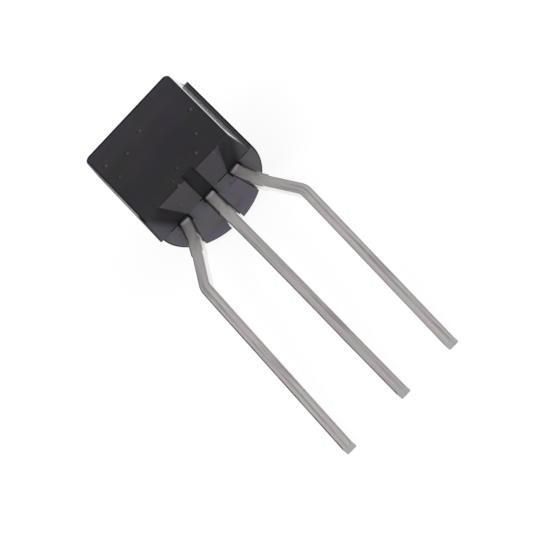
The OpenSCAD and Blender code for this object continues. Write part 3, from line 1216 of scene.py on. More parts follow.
        # Less metallic at the root, and a painted highlight band just below the exit.
        bright = 1 - self.root_dulling * root - self.exit_highlight.on(run)
        height = (grain * self.grain_height + long_marks) * self.mark_height * (1 + root)
        rough = self.roughness + grain.spread(self.grain_roughness)
        rough = rough + patches.spread(self.patch_roughness)
        shader = recipe.principled(
            {
                "Base Color": colour,
                "Metallic": bright * (1 - flank_shade),
                "Roughness": rough,
                "Normal": recipe.bump(height),
            }
        )
        return recipe.finish(shader)

    def _drawn_lines(
        self, spot: Spot, across: Value, run: Value, sided: Value, on_right: Value
    ) -> Value:
        """The level of the long wandering line that drawing leaves, and of the bands beside it.

        Args:
            spot: The point in the design frame.
            across: How far across the strip it is.
            run: How far below the case it is.
            sided: 1 on the two outer leads.
            on_right: 1 on the right lead.

        Returns:
            What the colour is multiplied by.
        """
        recipe = spot.recipe
        wander = self.line_noise.on(recipe, spot.place).spread(self.line_wander)
        broken = self.least_whole + self.breaks.on(self.break_noise.on(recipe, spot.place))
        shift = self.line_left_shift * (sided - on_right) + self.line_right_shift * on_right
        outer = self.middle_share + (1 - self.middle_share) * sided
        marked = self.marked_from.on(run) * broken * outer
        away = abs(across - (wander + self.line_x - shift))
        bands = self.band_in.on(away) * self.band_out.on(away)
        return 1 + (bands - self.line.on(away)) * marked


@dataclass(frozen=True)
class InnerFinish:
    """A finish for a sealed piece: one colour with grain."""

    name: str
    colour: Colour
    shade: Colour
    metallic: float
    roughness: float
    scale: float
    detail: float = 3.0
    roughness_spread: float = 0.12
    grain_height: float = 0.002

    def material(self, placement: Placement) -> bpy.types.Material:
        """Writes the material.

        Args:
            placement: Where the design frame lies.

        Returns:
            The material.
        """
        recipe = Recipe(self.name)
        place = placement.design_place(recipe)
        grain = recipe.noise(place, self.scale, self.detail)
        shader = recipe.principled(
            {
                "Base Color": recipe.blend(grain, self.shade, self.colour),
                "Metallic": self.metallic,
                "Roughness": self.roughness + grain.spread(self.roughness_spread),
                "Normal": recipe.bump(grain * self.grain_height),
            }
        )
        return recipe.finish(shader)


BOND_WIRE = InnerFinish("bond_wire", (0.83, 0.66, 0.30), (0.70, 0.52, 0.22), 1.0, 0.25, 20)

INNER_FINISHES = {
    "thyristor_die": InnerFinish("silicon", (0.22, 0.23, 0.26), (0.10, 0.10, 0.14), 0.4, 0.18, 6),
    "die_solder": InnerFinish("solder", (0.56, 0.56, 0.54), (0.36, 0.36, 0.35), 1.0, 0.45, 14),
    "gate_wire": BOND_WIRE,
    "cathode_wire": BOND_WIRE,
}


# ---------------------------------------------------------------- leads


@dataclass(frozen=True)
class Station:
    """A place on a lead's centre line."""

    x: float
    z: float
    run: float
    flare: float
    shrink: float


@dataclass(frozen=True)
class PathPiece:
    """A stretch of a lead's path: its length, and its turn outwards in radians."""

    length: float
    turn: float = 0.0


@dataclass(frozen=True)
class Strip:
    """The sheared and tinned strip that the leads are cut from."""

    width: float = 0.42
    thickness: float = 0.38
    edge_r: float = 0.05
    edge_segments: int = 4
    side_steps: int = 6
    cut_r: float = 0.025
    stub_out: float = 0.04
    stub_from: float = 1.1
    stub_len: float = 0.55
    stub_ramp: float = 0.06
    station_gap: float = 0.05
    inside: float = 0.3
    inside_end: float = 0.1
    inside_steps: int = 4
    inside_shrink: float = 0.003
    cut_stations: tuple[float, ...] = (1.0, 0.7, 0.45, 0.25, 0.1, 0.0)

    def flare(self, run: float) -> float:
        """How far each side stands out past the plain width.

        Args:
            run: The distance from the case along the lead.

        Returns:
            The distance, which is 0 away from the tie-bar stubs.
        """
        past = run - self.stub_from - self.stub_len
        rise = smooth((run - self.stub_from + self.stub_ramp) / self.stub_ramp)
        return self.stub_out * min(rise, 1 - smooth(past / self.stub_ramp))

    def shrink(self, run: float, total: float) -> float:
        """How far the section draws in, at the rounded cut end and at the end in the case.

        Args:
            run: The distance from the case along the lead.
            total: The lead's whole run.

        Returns:
            The distance.
        """
        left = total - run
        if left < self.cut_r:
            return self.cut_r - math.sqrt(self.cut_r**2 - (self.cut_r - left) ** 2)
        return self.inside_shrink if run < 0 else 0.0


class StripTree:
    """Geometry nodes that sweep the strip's section along a lead's path."""

    def __init__(self) -> None:
        """Builds the tree with its named inputs."""
        self.group = bpy.data.node_groups.new("lead_strip", "GeometryNodeTree")
        self.ids: dict[str, str] = {}
        self._input("Geometry", "NodeSocketGeometry")
        for name in ("Width", "Thickness", "Edge Radius"):
            self._input(name, "NodeSocketFloat")
        for name in ("Edge Segments", "Side Steps"):
            self._input(name, "NodeSocketInt")
        self._input("Finish", "NodeSocketMaterial")
        self.group.interface.new_socket(
            "Geometry", in_out="OUTPUT", socket_type="NodeSocketGeometry"
        )
        self._build()

    def _input(self, name: str, kind: str) -> None:
        """Adds an input and remembers its identifier."""
        socket = self.group.interface.new_socket(name, in_out="INPUT", socket_type=kind)
        self.ids[name] = socket.identifier

    def _node(self, kind: str, settings: dict, sockets: dict) -> bpy.types.Node:
        """Adds a node with its settings, values and links.

        Args:
            kind: The node's type.
            settings: Its own properties, set first.
            sockets: A value or a link for each input, by name or number.

        Returns:
            The node.
        """
        made = self.group.nodes.new(kind)
        for name, setting in settings.items():
            setattr(made, name, setting)
        for name, given in sockets.items():
            if isinstance(given, Link):
                self.group.links.new(given, made.inputs[name])
            else:
                made.inputs[name].default_value = given
        return made

    def _first(self, kind: str, settings: dict, sockets: dict) -> Link:
        """The first output of a new node."""
        return self._node(kind, settings, sockets).outputs[0]

    def _vector(self, operation: str, *terms: Link) -> Link:
        """One Vector Math node."""
        return self._first(
            "ShaderNodeVectorMath", {"operation": operation}, dict(enumerate(terms))
        )

    def _scaled(self, vector: Link, size: Link) -> Link:
        """A vector times a number."""
        return self._first(
            "ShaderNodeVectorMath", {"operation": "SCALE"}, {"Vector": vector, "Scale": size}
        )

    def _math(self, operation: str, *terms: Union[float, Link]) -> Link:
        """One Math node."""
        return self._first("ShaderNodeMath", {"operation": operation}, dict(enumerate(terms)))

    def _part_of_half(self, part: Link, size: Link, change: Link) -> Link:
        """A change, in proportion to where a point stands between the middle and the edge."""
        share = self._math("DIVIDE", part, self._math("MULTIPLY", size, 0.5))
        return self._math("MULTIPLY", share, change)

    def _named(self, name: str) -> Link:
        """A float attribute of the path."""
        return self._node(
            "GeometryNodeInputNamedAttribute", {"data_type": "FLOAT"}, {"Name": name}
        ).outputs["Attribute"]

    def _capture(self, geometry: Link, name: str, value: Link) -> tuple[Link, Link]:
        """Captures a vector on points.

        Args:
            geometry: The geometry.
            name: The capture's name.
            value: The vector.

        Returns:
            The geometry and the captured vector.
        """
        made = self.group.nodes.new("GeometryNodeCaptureAttribute")
        made.capture_items.new("VECTOR", name)
        self.group.links.new(geometry, made.inputs["Geometry"])
        self.group.links.new(value, made.inputs[name])
        return made.outputs["Geometry"], made.outputs[name]

    def _build(self) -> None:
        """Path to curve, section, sweep, flare, and the strip's own coordinates."""
        given = self._node("NodeGroupInput", {}, {}).outputs
        curve = self._first("GeometryNodeMeshToCurve", {}, {"Mesh": given["Geometry"]})
        curve = self._first(
            "GeometryNodeSetCurveNormal", {"mode": "FREE"}, {"Curve": curve, "Normal": (0, 1, 0)}
        )
        normal = self._node("GeometryNodeInputNormal", {}, {}).outputs["Normal"]
        tangent = self._first("GeometryNodeInputTangent", {}, {})
        curve, front = self._capture(curve, "Front", normal)
        curve, side = self._capture(curve, "Side", self._vector("CROSS_PRODUCT", tangent, normal))

        section = self._first(
            "GeometryNodeCurvePrimitiveQuadrilateral",
            {"mode": "RECTANGLE"},
            {"Width": given["Thickness"], "Height": given["Width"]},
        )
        section = self._first(
            "GeometryNodeSubdivideCurve", {}, {"Curve": section, "Cuts": given["Side Steps"]}
        )
        section = self._first(
            "GeometryNodeFilletCurve",
            {"mode": "POLY"},
            {"Curve": section, "Count": given["Edge Segments"], "Radius": given["Edge Radius"]},
        )
        position = self._first("GeometryNodeInputPosition", {}, {})
        section, place = self._capture(section, "Section", position)

        swept = self._first(
            "GeometryNodeCurveToMesh",
            {},
            {"Curve": curve, "Profile Curve": section, "Fill Caps": True},
        )
        parts = self._node("ShaderNodeSeparateXYZ", {}, {"Vector": place}).outputs
        shrink = self._math("MULTIPLY", self._named("shrink"), -1.0)
        widen = self._math("ADD", self._named("flare"), shrink)
        across = self._part_of_half(parts["Y"], given["Width"], widen)
        through = self._part_of_half(parts["X"], given["Thickness"], shrink)
        offset = self._vector("ADD", self._scaled(side, across), self._scaled(front, through))
        formed = self._first("GeometryNodeSetPosition", {}, {"Geometry": swept, "Offset": offset})
        own = self._first(
            "ShaderNodeCombineXYZ", {}, {"X": parts["Y"], "Y": parts["X"], "Z": self._named("run")}
        )
        kept = self._first(
            "GeometryNodeStoreNamedAttribute",
            {"data_type": "FLOAT_VECTOR", "domain": "POINT"},
            {"Geometry": formed, "Name": "strip", "Value": own},
        )
        real = self._first("GeometryNodeRealizeInstances", {}, {"Geometry": kept})
        done = self._first(
            "GeometryNodeSetMaterial", {}, {"Geometry": real, "Material": given["Finish"]}
        )
        self._node("NodeGroupOutput", {}, {"Geometry": done})

    def sweep(
        self, name: str, stations: Sequence[Station], strip: Strip, finish: bpy.types.Material
    ) -> Solid:
        """Sweeps the strip's section along a path.

        Args:
            name: The piece's name.
            stations: The path, from inside the case to the cut end.
            strip: The strip's sizes.
            finish: Its material.

        Returns:
            The lead as a closed solid.
        """
        path = bpy.data.meshes.new(name + "_path")
        middle = strip.thickness / 2
        edges = [(i, i + 1) for i in range(len(stations) - 1)]
        path.from_pydata([(s.x, middle, s.z) for s in stations], edges, [])
        for label in ("flare", "shrink", "run"):
            values = [getattr(s, label) for s in stations]
            path.attributes.new(label, "FLOAT", "POINT").data.foreach_set("value", values)
        solid = Solid(name, path)
        modifier = solid.item.modifiers.new("strip", "NODES")
        modifier.node_group = self.group
        sizes = {
            "Width": strip.width,
            "Thickness": strip.thickness,
            "Edge Radius": strip.edge_r,
            "Edge Segments": strip.edge_segments,
            "Side Steps": strip.side_steps,
            "Finish": finish,
        }
        for label, value in sizes.items():
            modifier[self.ids[label]] = value
        solid.apply_modifier()
        attributes = solid.item.data.attributes
        for label in ("flare", "run"):
            spare = attributes.get(label)
            if spare is not None:
                attributes.remove(spare)
        solid.tidy()
        return solid


@dataclass
class Lead:
    """One lead: a strip formed below the case, and the lead frame's plate inside it."""

    node: str
    row: int
    length: float
    travel: float = 0.0
    lean: float = 0.0
    bow: float = 0.0
    bow_reach: float = 1.35
    tip_shift: float = 0.0
    strip: Strip = Strip()
    kink_angle: float = 11.0
    kink_r: float = 0.5
    sweep_angle: float = 13.5
    sweep_r: float = 7.0
    return_r: float = 0.93
    splice: float = 0.2

    @property
    def exit_x(self) -> float:
        """Where the lead leaves the case, across the row."""
        return self.row * LEAD_PITCH

    def path(self) -> list[PathPiece]:
        """The formed path: out by the travel, then down at the lean.

        Returns:
            The bends and the straight between them; what is left of the length follows.
        """
        if not self.travel:
            return []
        kink, sweep = math.radians(self.kink_angle), math.radians(self.sweep_angle)
        bent = kink + sweep
        bends = (
            self.kink_r * (1 - math.cos(kink))
            + self.sweep_r * (math.cos(kink) - math.cos(bent))
            + self.return_r * (1 - math.cos(bent))
        )
        back = bent - math.radians(self.lean)
        return [
            PathPiece(kink * self.kink_r, kink),
            PathPiece(sweep * self.sweep_r, sweep),
            PathPiece((self.travel - bends) / math.sin(bent)),
            PathPiece(back * self.return_r, -back),
        ]

    def stations(self) -> list[Station]:
        """The centre line from inside the case to the cut end.

        Returns:
            The stations, in order.
        """
        strip = self.strip
        x = z = run = heading = 0.0
        inside = steps(strip.inside, strip.inside_end, strip.inside_steps)
        places = [(0.0, depth, -depth) for depth in inside] + [(x, z, run)]
        for piece in self.path():
            count = max(1, math.ceil(piece.length / strip.station_gap))
            part, turn = piece.length / count, piece.turn / count
            for _ in range(count):
                middle = heading + turn / 2
                x += part * math.sin(middle)
                z -= part * math.cos(middle)
                heading += turn
                run += part
                places.append((x, z, run))
        end = self.length - strip.width / 2 * abs(math.tan(heading))
        rest = (end + z) / math.cos(heading)
        total = run + rest
        cut = [rest - strip.cut_r * share for share in strip.cut_stations]
        plain = steps(0, rest - strip.cut_r * 2, round(rest / strip.station_gap))[1:]
        for down in plain + cut:
            places.append((x + down * math.sin(heading), z - down * math.cos(heading), run + down))
        return [
            Station(
                x=self.exit_x + self.row * px + self._drift(-pz),
                z=pz,
                run=along,
                flare=strip.flare(along),
                shrink=strip.shrink(along, total),
            )
            for px, pz, along in places
        ]

    def _drift(self, below: float) -> float:
        """The slight bow of a lead that was never formed.

        Args:
            below: The distance below the case.

        Returns:
            How far it stands to one side there.
        """
        if below <= 0 or not (self.bow or self.tip_shift):
            return 0.0
        share = below / self.length
        bowed = self.bow * math.sin(math.pi * min(share * self.bow_reach, 1.0))
        return bowed + self.tip_shift * share**2

    def build(self, tree: StripTree, placement: Placement, finish: bpy.types.Material) -> Solid:
        """Makes the lead as one closed solid.

        Args:
            tree: The sweep.
            placement: Where the design frame lies.
            finish: The tin plating.

        Returns:
            The solid, still in the design frame.
        """
        plate = Solid.from_node(self.node + "_plate", self.node, placement)
        plate.keep_above(self.splice)
        lead = tree.sweep(self.node + "_strip", self.stations(), self.strip, finish)
        lead.carve(plate, Carving.JOIN)
        lead.settle()
        return lead


# ---------------------------------------------------------------- case


@dataclass
class MouldedCase:
    """The black case: a drafted front half with lead pockets, on a half-round back."""

    width: float = 4.52
    height: float = 4.5
    top_step: float = 0.05
    front_depth: float = 1.21
    back_r: float = 2.28
    mould_shift: float = 0.13
    side_draft: float = 6.0
    end_draft: float = 5.0
    back_draft: float = 2.0
    flat_corner_r: float = 0.24
    parting_corner_r: float = 0.06
    flat_fillet: float = 0.04
    rim_fillet: float = 0.05
    parting_break: float = 0.012
    support: float = 0.012
    tongue: float = 0.04
    tongue_margin: float = 0.05
    least_corner: float = 0.01
    corner_steps: int = 6
    side_steps: int = 10
    front_rows: int = 34
    round_steps: int = 120
    chord_steps: int = 24
    rim_steps: int = 5
    back_rows: int = 12
    mark_steps: int = 72
    pocket_rise: float = 0.2
    mouth_flare: float = 0.06
    mouth_from: float = 0.9
    run_out: float = 0.75
    run_out_from: float = 0.75
    mid_pocket_half: float = 0.272
    mid_pocket_start: float = 0.02
    mid_pocket_drift: float = 0.04
    outer_pocket_start: float = 1.0
    outer_pocket_end: float = 1.53
    outer_pocket_lean: float = 0.42
    outer_pocket_spread: float = 0.45
    outer_land: float = 0.03
    soft_pocket_end: float = 1.63
    soft_pocket_spread: float = 0.5
    pocket_wall: float = 0.04
    right_wall_from: float = 0.3
    right_wall_spread: float = 0.4
    right_wall_growth: float = 1.5
    land_steps: int = 8
    between_steps: int = 14
    slope_steps: int = 20
    wall_steps: int = 5
    middle_steps: int = 12
    soft_steps: int = 9
    mark_r: float = 0.75
    mark_depth: float = 0.16
    mark_corner: float = 0.03
    exit_half: float = 0.265
    exit_gap: float = 0.05
    exit_depth: float = 0.22
    channel_rise: float = 0.27
    channel_floor: float = 0.02
    channel_half: float = 0.265
    channel_flare: float = 0.03
    channel_lean: float = 0.43
    channel_shift: float = 0.09
    channel_corner: float = 0.05
    channel_rounding: float = 0.3
    channel_rows: int = 16
    grooves: tuple[Triple, ...] = (
        (-2.0, -1.5, 0.04),
        (-1.06, -0.98, 0.02),
        (-0.42, -0.24, 0.045),
        (0.24, 0.36, 0.02),
        (0.52, 1.02, 0.035),
        (1.52, 2.08, 0.035),
    )
    # A groove's section in halves of its width, and the share of its length that runs out.
    groove_mouth: Pair = (-1.6, 0.4)
    groove_floor: Pair = (-1.0, -0.2)
    groove_depth: float = 4.0
    groove_run_out: int = 4
    least_groove: float = 0.001

    @property
    def side_slope(self) -> float:
        """How far the front half's sides draw in for each millimetre of depth."""
        return math.tan(math.radians(self.side_draft))

    @property
    def end_slope(self) -> float:
        """How far the front half's ends draw in for each millimetre of depth."""
        return math.tan(math.radians(self.end_draft))

    @property
    def end_loss(self) -> float:
        """What each end of the front half loses down to the flat."""
        return self.front_depth * self.end_slope

    @property
    def back_slope(self) -> float:
        """How far the back half's ends draw in for each millimetre of depth."""
        return math.tan(math.radians(self.back_draft))

    @property
    def back_height(self) -> float:
        """The back half's height at the parting plane."""
        return self.height + self.top_step

    def side_at(self, depth: Number) -> Number:
        """Half the front half's width at a depth from the parting plane."""
        return self.width / 2 - depth * self.side_slope

    def past_side(self, spot: Spot) -> Value:
        """How far a point of the front half stands past the nearer side face."""
        return abs(spot.x + self.mould_shift) - self.side_at(spot.depth)

    def past_left(self, spot: Spot) -> Value:
        """How far a point of the front half stands past its left side face."""
        return -(spot.x + self.mould_shift) - self.side_at(spot.depth)

    def mid_pocket_at(self, depth: Number) -> Number:
        """The middle of the middle pocket at a depth from the parting plane."""
        return self.mid_pocket_start + self.mid_pocket_drift * depth / self.front_depth

    def outer_pocket_inner(self, depth: Number) -> Number:
        """The inner edge of an outer pocket at a depth from the parting plane."""
        return self.outer_pocket_start + self.outer_pocket_lean * depth

    def outer_pocket_outer(self, depth: float) -> float:
        """The outer edge of an outer pocket at a depth from the parting plane."""
        return self.outer_pocket_end + self.outer_pocket_spread * depth

    def channel_centre(self, row: int, share: Number) -> Number:
        """The middle of a lead's channel, at a share of the way back to the crown."""
        return row * LEAD_PITCH + share * (row * self.channel_lean - self.channel_shift)

    def channel_half_at(self, share: Number) -> Number:
        """Half a channel's width, at a share of the way back."""
        return self.channel_half + self.channel_flare * share

    def channel_top_at(self, share: Number) -> Number:
        """A channel's top, at a share of the way back."""
        rise = self.channel_rise + self.back_slope * self.back_r - self.channel_floor
        return self.channel_floor + rise * share

    def _mouth(self, depth: float, start: float) -> float:
        """How far a depth is into the pockets' mouths, from 0 at their start to 1 at the flat."""
        return max(0.0, (depth - start) / (self.front_depth - start))

    def _middle_rise(self, depth: float) -> float:
        """How deep the middle pocket is at a depth from the parting plane."""
        flare = self.mouth_flare * self._mouth(depth, self.mouth_from) ** 2
        return self.pocket_rise * depth / self.front_depth + flare

    def _outer_rise(self, depth: float) -> float:
        """How deep the outer pockets are there; they run out towards the flat."""
        left = 1 - self.run_out * self._mouth(depth, self.run_out_from) ** 2
        return self.pocket_rise * depth / self.front_depth * left

    def _lower_edge(self, depth: float, low: float, high: float) -> list[Pair]:
        """The lead side's edge as (x, rise) from left to right, with the three pockets in it.

        Args:
            depth: The distance from the parting plane.
            low: Where the edge begins.
            high: Where it ends.

        Returns:
            The same number of points at every depth.
        """
        inner, outer = self.outer_pocket_inner(depth), self.outer_pocket_outer(depth)
        left_outer = min(outer, -low - self.outer_land)
        right_outer = min(outer, high - self.outer_land)
        middle, half, wall = self.mid_pocket_at(depth), self.mid_pocket_half, self.pocket_wall
        begin, end = middle - half, middle + half
        rise, outer_rise = self._middle_rise(depth), self._outer_rise(depth)
        past = max(0.0, (depth - self.right_wall_from) / self.front_depth)
        soft = wall + self.right_wall_spread * past**self.right_wall_growth
        near = inner + wall / 2 - soft / 2
        stretches = [
            (low, -left_outer, self.land_steps, lambda t: 0.0),
            (-left_outer, -inner - wall, self.slope_steps, lambda t: outer_rise * smooth(t)),
            (-inner - wall, -inner, self.wall_steps, lambda t: outer_rise * (1 - smooth(t))),
            (-inner, begin, self.between_steps, lambda t: 0.0),
            (begin, begin + wall, self.wall_steps, lambda t: rise * smooth(t)),
            (begin + wall, end - wall, self.middle_steps, lambda t: rise),
            (end - wall, end, self.wall_steps, lambda t: rise * (1 - smooth(t))),
            (end, near, self.between_steps, lambda t: 0.0),
            (near, near + soft, self.soft_steps, lambda t: outer_rise * smooth(t)),
            (near + soft, right_outer, self.slope_steps, lambda t: outer_rise * (1 - smooth(t))),
            (right_outer, high, self.land_steps, lambda t: 0.0),
        ]
        edge = []
        for start, stop, count, profile in stretches:
            for i in range(count):
                edge.append((start + (stop - start) * i / count, profile(i / count)))
        edge.append((high, 0.0))
        return edge

    def _front_loop(self, depth: float, inset: float = 0.0) -> list[Point]:
        """The front half's outline at a depth.

        Args:
            depth: The distance from the parting plane.
            inset: How far the outline is drawn in.

        Returns:
            Its points, the same number at every depth.
        """
        half = self.side_at(depth) - inset
        lift = depth * self.end_slope + inset
        share = depth / self.front_depth
        corner = self.parting_corner_r + (self.flat_corner_r - self.parting_corner_r) * share
        corner = max(corner - inset, self.least_corner)
        low_corner = max(self.parting_corner_r - inset, self.least_corner)
        left, right = -self.mould_shift - half, -self.mould_shift + half
        low, high = lift, self.height - lift
        edge = self._lower_edge(depth, left + low_corner, right - low_corner)
        turn, side = self.corner_steps, self.side_steps
        loop = [(x, low + rise) for x, rise in edge]
        loop += arc((right - low_corner, low + low_corner), low_corner, -90, turn)[1:]
        loop += [(right, z) for z in steps(low + low_corner, high - corner, side)[1:]]
        loop += arc((right - corner, high - corner), corner, 0, turn)[1:]
        loop += [(x, high) for x in steps(right - corner, left + corner, side)[1:]]
        loop += arc((left + corner, high - corner), corner, 90, turn)[1:]
        loop += [(left, z) for z in steps(high - corner, low + low_corner, side)[1:]]
        loop += arc((left + low_corner, low + low_corner), low_corner, 180, turn)[1:-1]
        return [(x, -depth, z) for x, z in loop]

    def _tongue_loop(self, behind: float) -> list[Point]:
        """The outline of the root that joins the front half into the back half.

        Args:
            behind: The distance behind the parting plane.

        Returns:
            As many points as the front half's outline has.
        """
        margin = self.tongue_margin
        outer = self._front_loop(0.0)
        left, right = min(x for x, _, _ in outer), max(x for x, _, _ in outer)
        new_left, new_right = -self.back_r + margin, right - margin
        scale_x = (new_right - new_left) / (right - left)
        scale_z = (self.height - 2 * margin) / self.height
        return [
            (new_left + (x - left) * scale_x, behind, margin + z * scale_z) for x, _, z in outer
        ]

    def front_half(self) -> Solid:
        """The front half, lofted from the parting plane to the flat.

        Returns:
            The solid.
        """
        fillet, fine = self.flat_fillet, self.parting_break
        loops = [self._tongue_loop(self.tongue), self._tongue_loop(0.0)]
        for a in angles(0, 90, 2):
            loops.append(self._front_loop(fine * (1 - math.cos(a)), fine * (1 - math.sin(a))))
        for depth in steps(fine * 2, self.front_depth - fillet - self.support, self.front_rows):
            loops.append(self._front_loop(depth))
        for a in angles(0, 90, self.corner_steps):
            depth = self.front_depth - fillet * (1 - math.sin(a))
            loops.append(self._front_loop(depth, fillet * (1 - math.cos(a))))
        loops.append(self._front_loop(self.front_depth, fillet + self.support))
        return Solid.loft("front_half", loops)

    def _back_loop(self, inset: float, front_inset: float, drop: float, top: bool) -> list[Point]:
        """The back half's outline near one end.

        Args:
            inset: How far the round side is drawn in.
            front_inset: How far the parting side is drawn in.
            drop: The distance from the end's drafted plane.
            top: Whether it is the top end.

        Returns:
            The outline, on a plane parallel to that end.
        """
        radius = self.back_r - inset
        outline = [
            (radius * math.cos(a), max(radius * math.sin(a), front_inset))
            for a in angles(0, 180, self.round_steps)
        ]
        outline += [(x, front_inset) for x in steps(-radius, radius, self.chord_steps)[1:-1]]
        lifts = [y * self.back_slope + drop for _, y in outline]
        if top:
            lifts = [self.back_height - lift for lift in lifts]
        return [(x, y, z) for (x, y), z in zip(outline, lifts)]

    def back_half(self) -> Solid:
        """The half-round back with its rounded rims and the ejector mark.

        Returns:
            The solid.
        """
        fillet, fine, support = self.rim_fillet, self.parting_break, self.support
        rim = [
            (fillet * (1 - math.cos(a)), fine * (1 - math.cos(a)), fillet * (1 - math.sin(a)))
            for a in angles(90, 0, self.rim_steps)
        ]
        rim = [(fillet + support, fine + support, 0.0)] + rim + [(0.0, 0.0, fillet + support)]
        loops = [self._back_loop(*ring, top=False) for ring in rim]
        ends = [self._back_loop(*ring, top=True) for ring in reversed(rim)]
        low, high = loops[-1], ends[0]
        for share in steps(0, 1, self.back_rows)[1:-1]:
            loops.append([(x, y, z + (b[2] - z) * share) for (x, y, z), b in zip(low, high)])
        return Solid.loft("back_half", loops + ends)

    def ejector_mark(self) -> Solid:
        """A cutter for the round mark on the back.

        Returns:
            The cutter.
        """
        floor, middle = self.back_r - self.mark_depth, self.back_height / 2
        rings = (
            (self.mark_r - self.mark_corner, floor),
            (self.mark_r, floor + self.mark_corner),
            (self.mark_r, self.back_r + 2 * CLEAR),
        )
        around = angles(0, 360, self.mark_steps)[:-1]
        loops = [[(r * math.cos(a), y, middle + r * math.sin(a)) for a in around] for r, y in rings]
        return Solid.loft("ejector_mark", loops)

    def exit_slot(self, lead: Lead) -> Solid:
        """A cutter for the thin gap round a lead where it leaves the case."""
        return Solid.block(
            "exit_slot",
            (lead.exit_x - self.exit_half, -self.exit_gap, -CLEAR),
            (lead.exit_x + self.exit_half, lead.strip.thickness, self.exit_depth),
        )

    def parting_groove(self, start: float, end: float, width: float) -> Solid:
        """A cutter for a thin groove along the parting line.

        Args:
            start: Where it begins, across the lead row.
            end: Where it ends.
            width: Its width; its two ends run out to nothing.

        Returns:
            The cutter.
        """
        loops = []
        (mouth_low, mouth_high), (floor_low, floor_high) = self.groove_mouth, self.groove_floor
        for x in steps(start, end, 2 * self.groove_run_out):
            share = min(x - start, end - x) / (end - start) * self.groove_run_out
            half = max(width / 2 * min(share, 1.0), self.least_groove)
            top = half * self.groove_depth
            mouth = [(x, half * mouth_low, -CLEAR), (x, half * mouth_high, -CLEAR)]
            loops.append(mouth + [(x, half * floor_high, top), (x, half * floor_low, top)])
        return Solid.loft("parting_groove", loops)

    def channel(self, row: int) -> Solid:
        """A cutter for the channel behind a lead, out through the crown.

        Args:
            row: The lead's place in the row: -1, 0 or 1.

        Returns:
            The cutter.
        """
        corner = self.channel_corner
        loops = []
        for y in steps(0.0, self.back_r + CLEAR, self.channel_rows):
            share = y / self.back_r
            centre, half = self.channel_centre(row, share), self.channel_half_at(share)
            top = self.channel_top_at(share)
            radius = min(corner, corner * self.channel_rounding + top * self.channel_rounding)
            loop = [(centre - half, -2 * CLEAR), (centre + half, -2 * CLEAR)]
            loop += arc((centre + half - radius, top - radius), radius, 0, self.rim_steps)
            loop += arc((centre - half + radius, top - radius), radius, 90, self.rim_steps)
            loops.append([(x, y, z) for x, z in loop])
        return Solid.loft("channel", loops)

    def build(self, leads: dict[str, Solid], shapes: Sequence[Lead], placement: Placement) -> Solid:
        """Joins the halves and hollows them round everything that they enclose.

        Args:
            leads: The finished leads by node.
            shapes: Their sizes.
            placement: Where the design frame lies.

        Returns:
            The case, still in the design frame.
        """
        case = self.front_half()
        case.carve(self.back_half(), Carving.JOIN)
        case.carve(self.ejector_mark(), Carving.CUT)
        for lead in shapes:
            case.carve(self.channel(lead.row), Carving.CUT)
            case.carve(leads[lead.node].copy("room"), Carving.CUT)
        for place, node in enumerate(INNER_FINISHES, 1):
            room = Solid.from_node("room", node, placement)
            room.grow(ROOM_PLAY * place)
            case.carve(room, Carving.CUT)
        for lead in shapes:
            case.carve(self.exit_slot(lead), Carving.CUT)
        for groove in self.grooves:
            case.carve(self.parting_groove(*groove), Carving.CUT)
        case.settle()
        return case


# ---------------------------------------------------------------- stage


@dataclass(frozen=True)
class SoftBox:
    """A square soft light, aimed at the object."""

    name: str
    azimuth: float
    elevation: float
    distance: float
    side: float
    radiance: float

    def place(self) -> None:
        """Puts the light in the scene."""
        light = bpy.data.lights.new(self.name, "AREA")
        light.shape = "SQUARE"
        light.size = self.side
        light.energy = self.radiance * math.pi * self.side**2
        lamp = bpy.data.objects.new(self.name, light)
        bpy.context.scene.collection.objects.link(lamp)
        away = direction(self.azimuth, self.elevation)
        lamp.location = away * self.distance
        lamp.rotation_euler = away.to_track_quat("Z", "Y").to_euler()


def direction(azimuth: float, elevation: float) -> Vector:
    """The way from the object to a place; azimuth 0 is on the side of -Y, and 90 of +X."""
    a, e = math.radians(azimuth), math.radians(elevation)
    return Vector((math.sin(a) * math.cos(e), -math.cos(a) * math.cos(e), math.sin(e)))


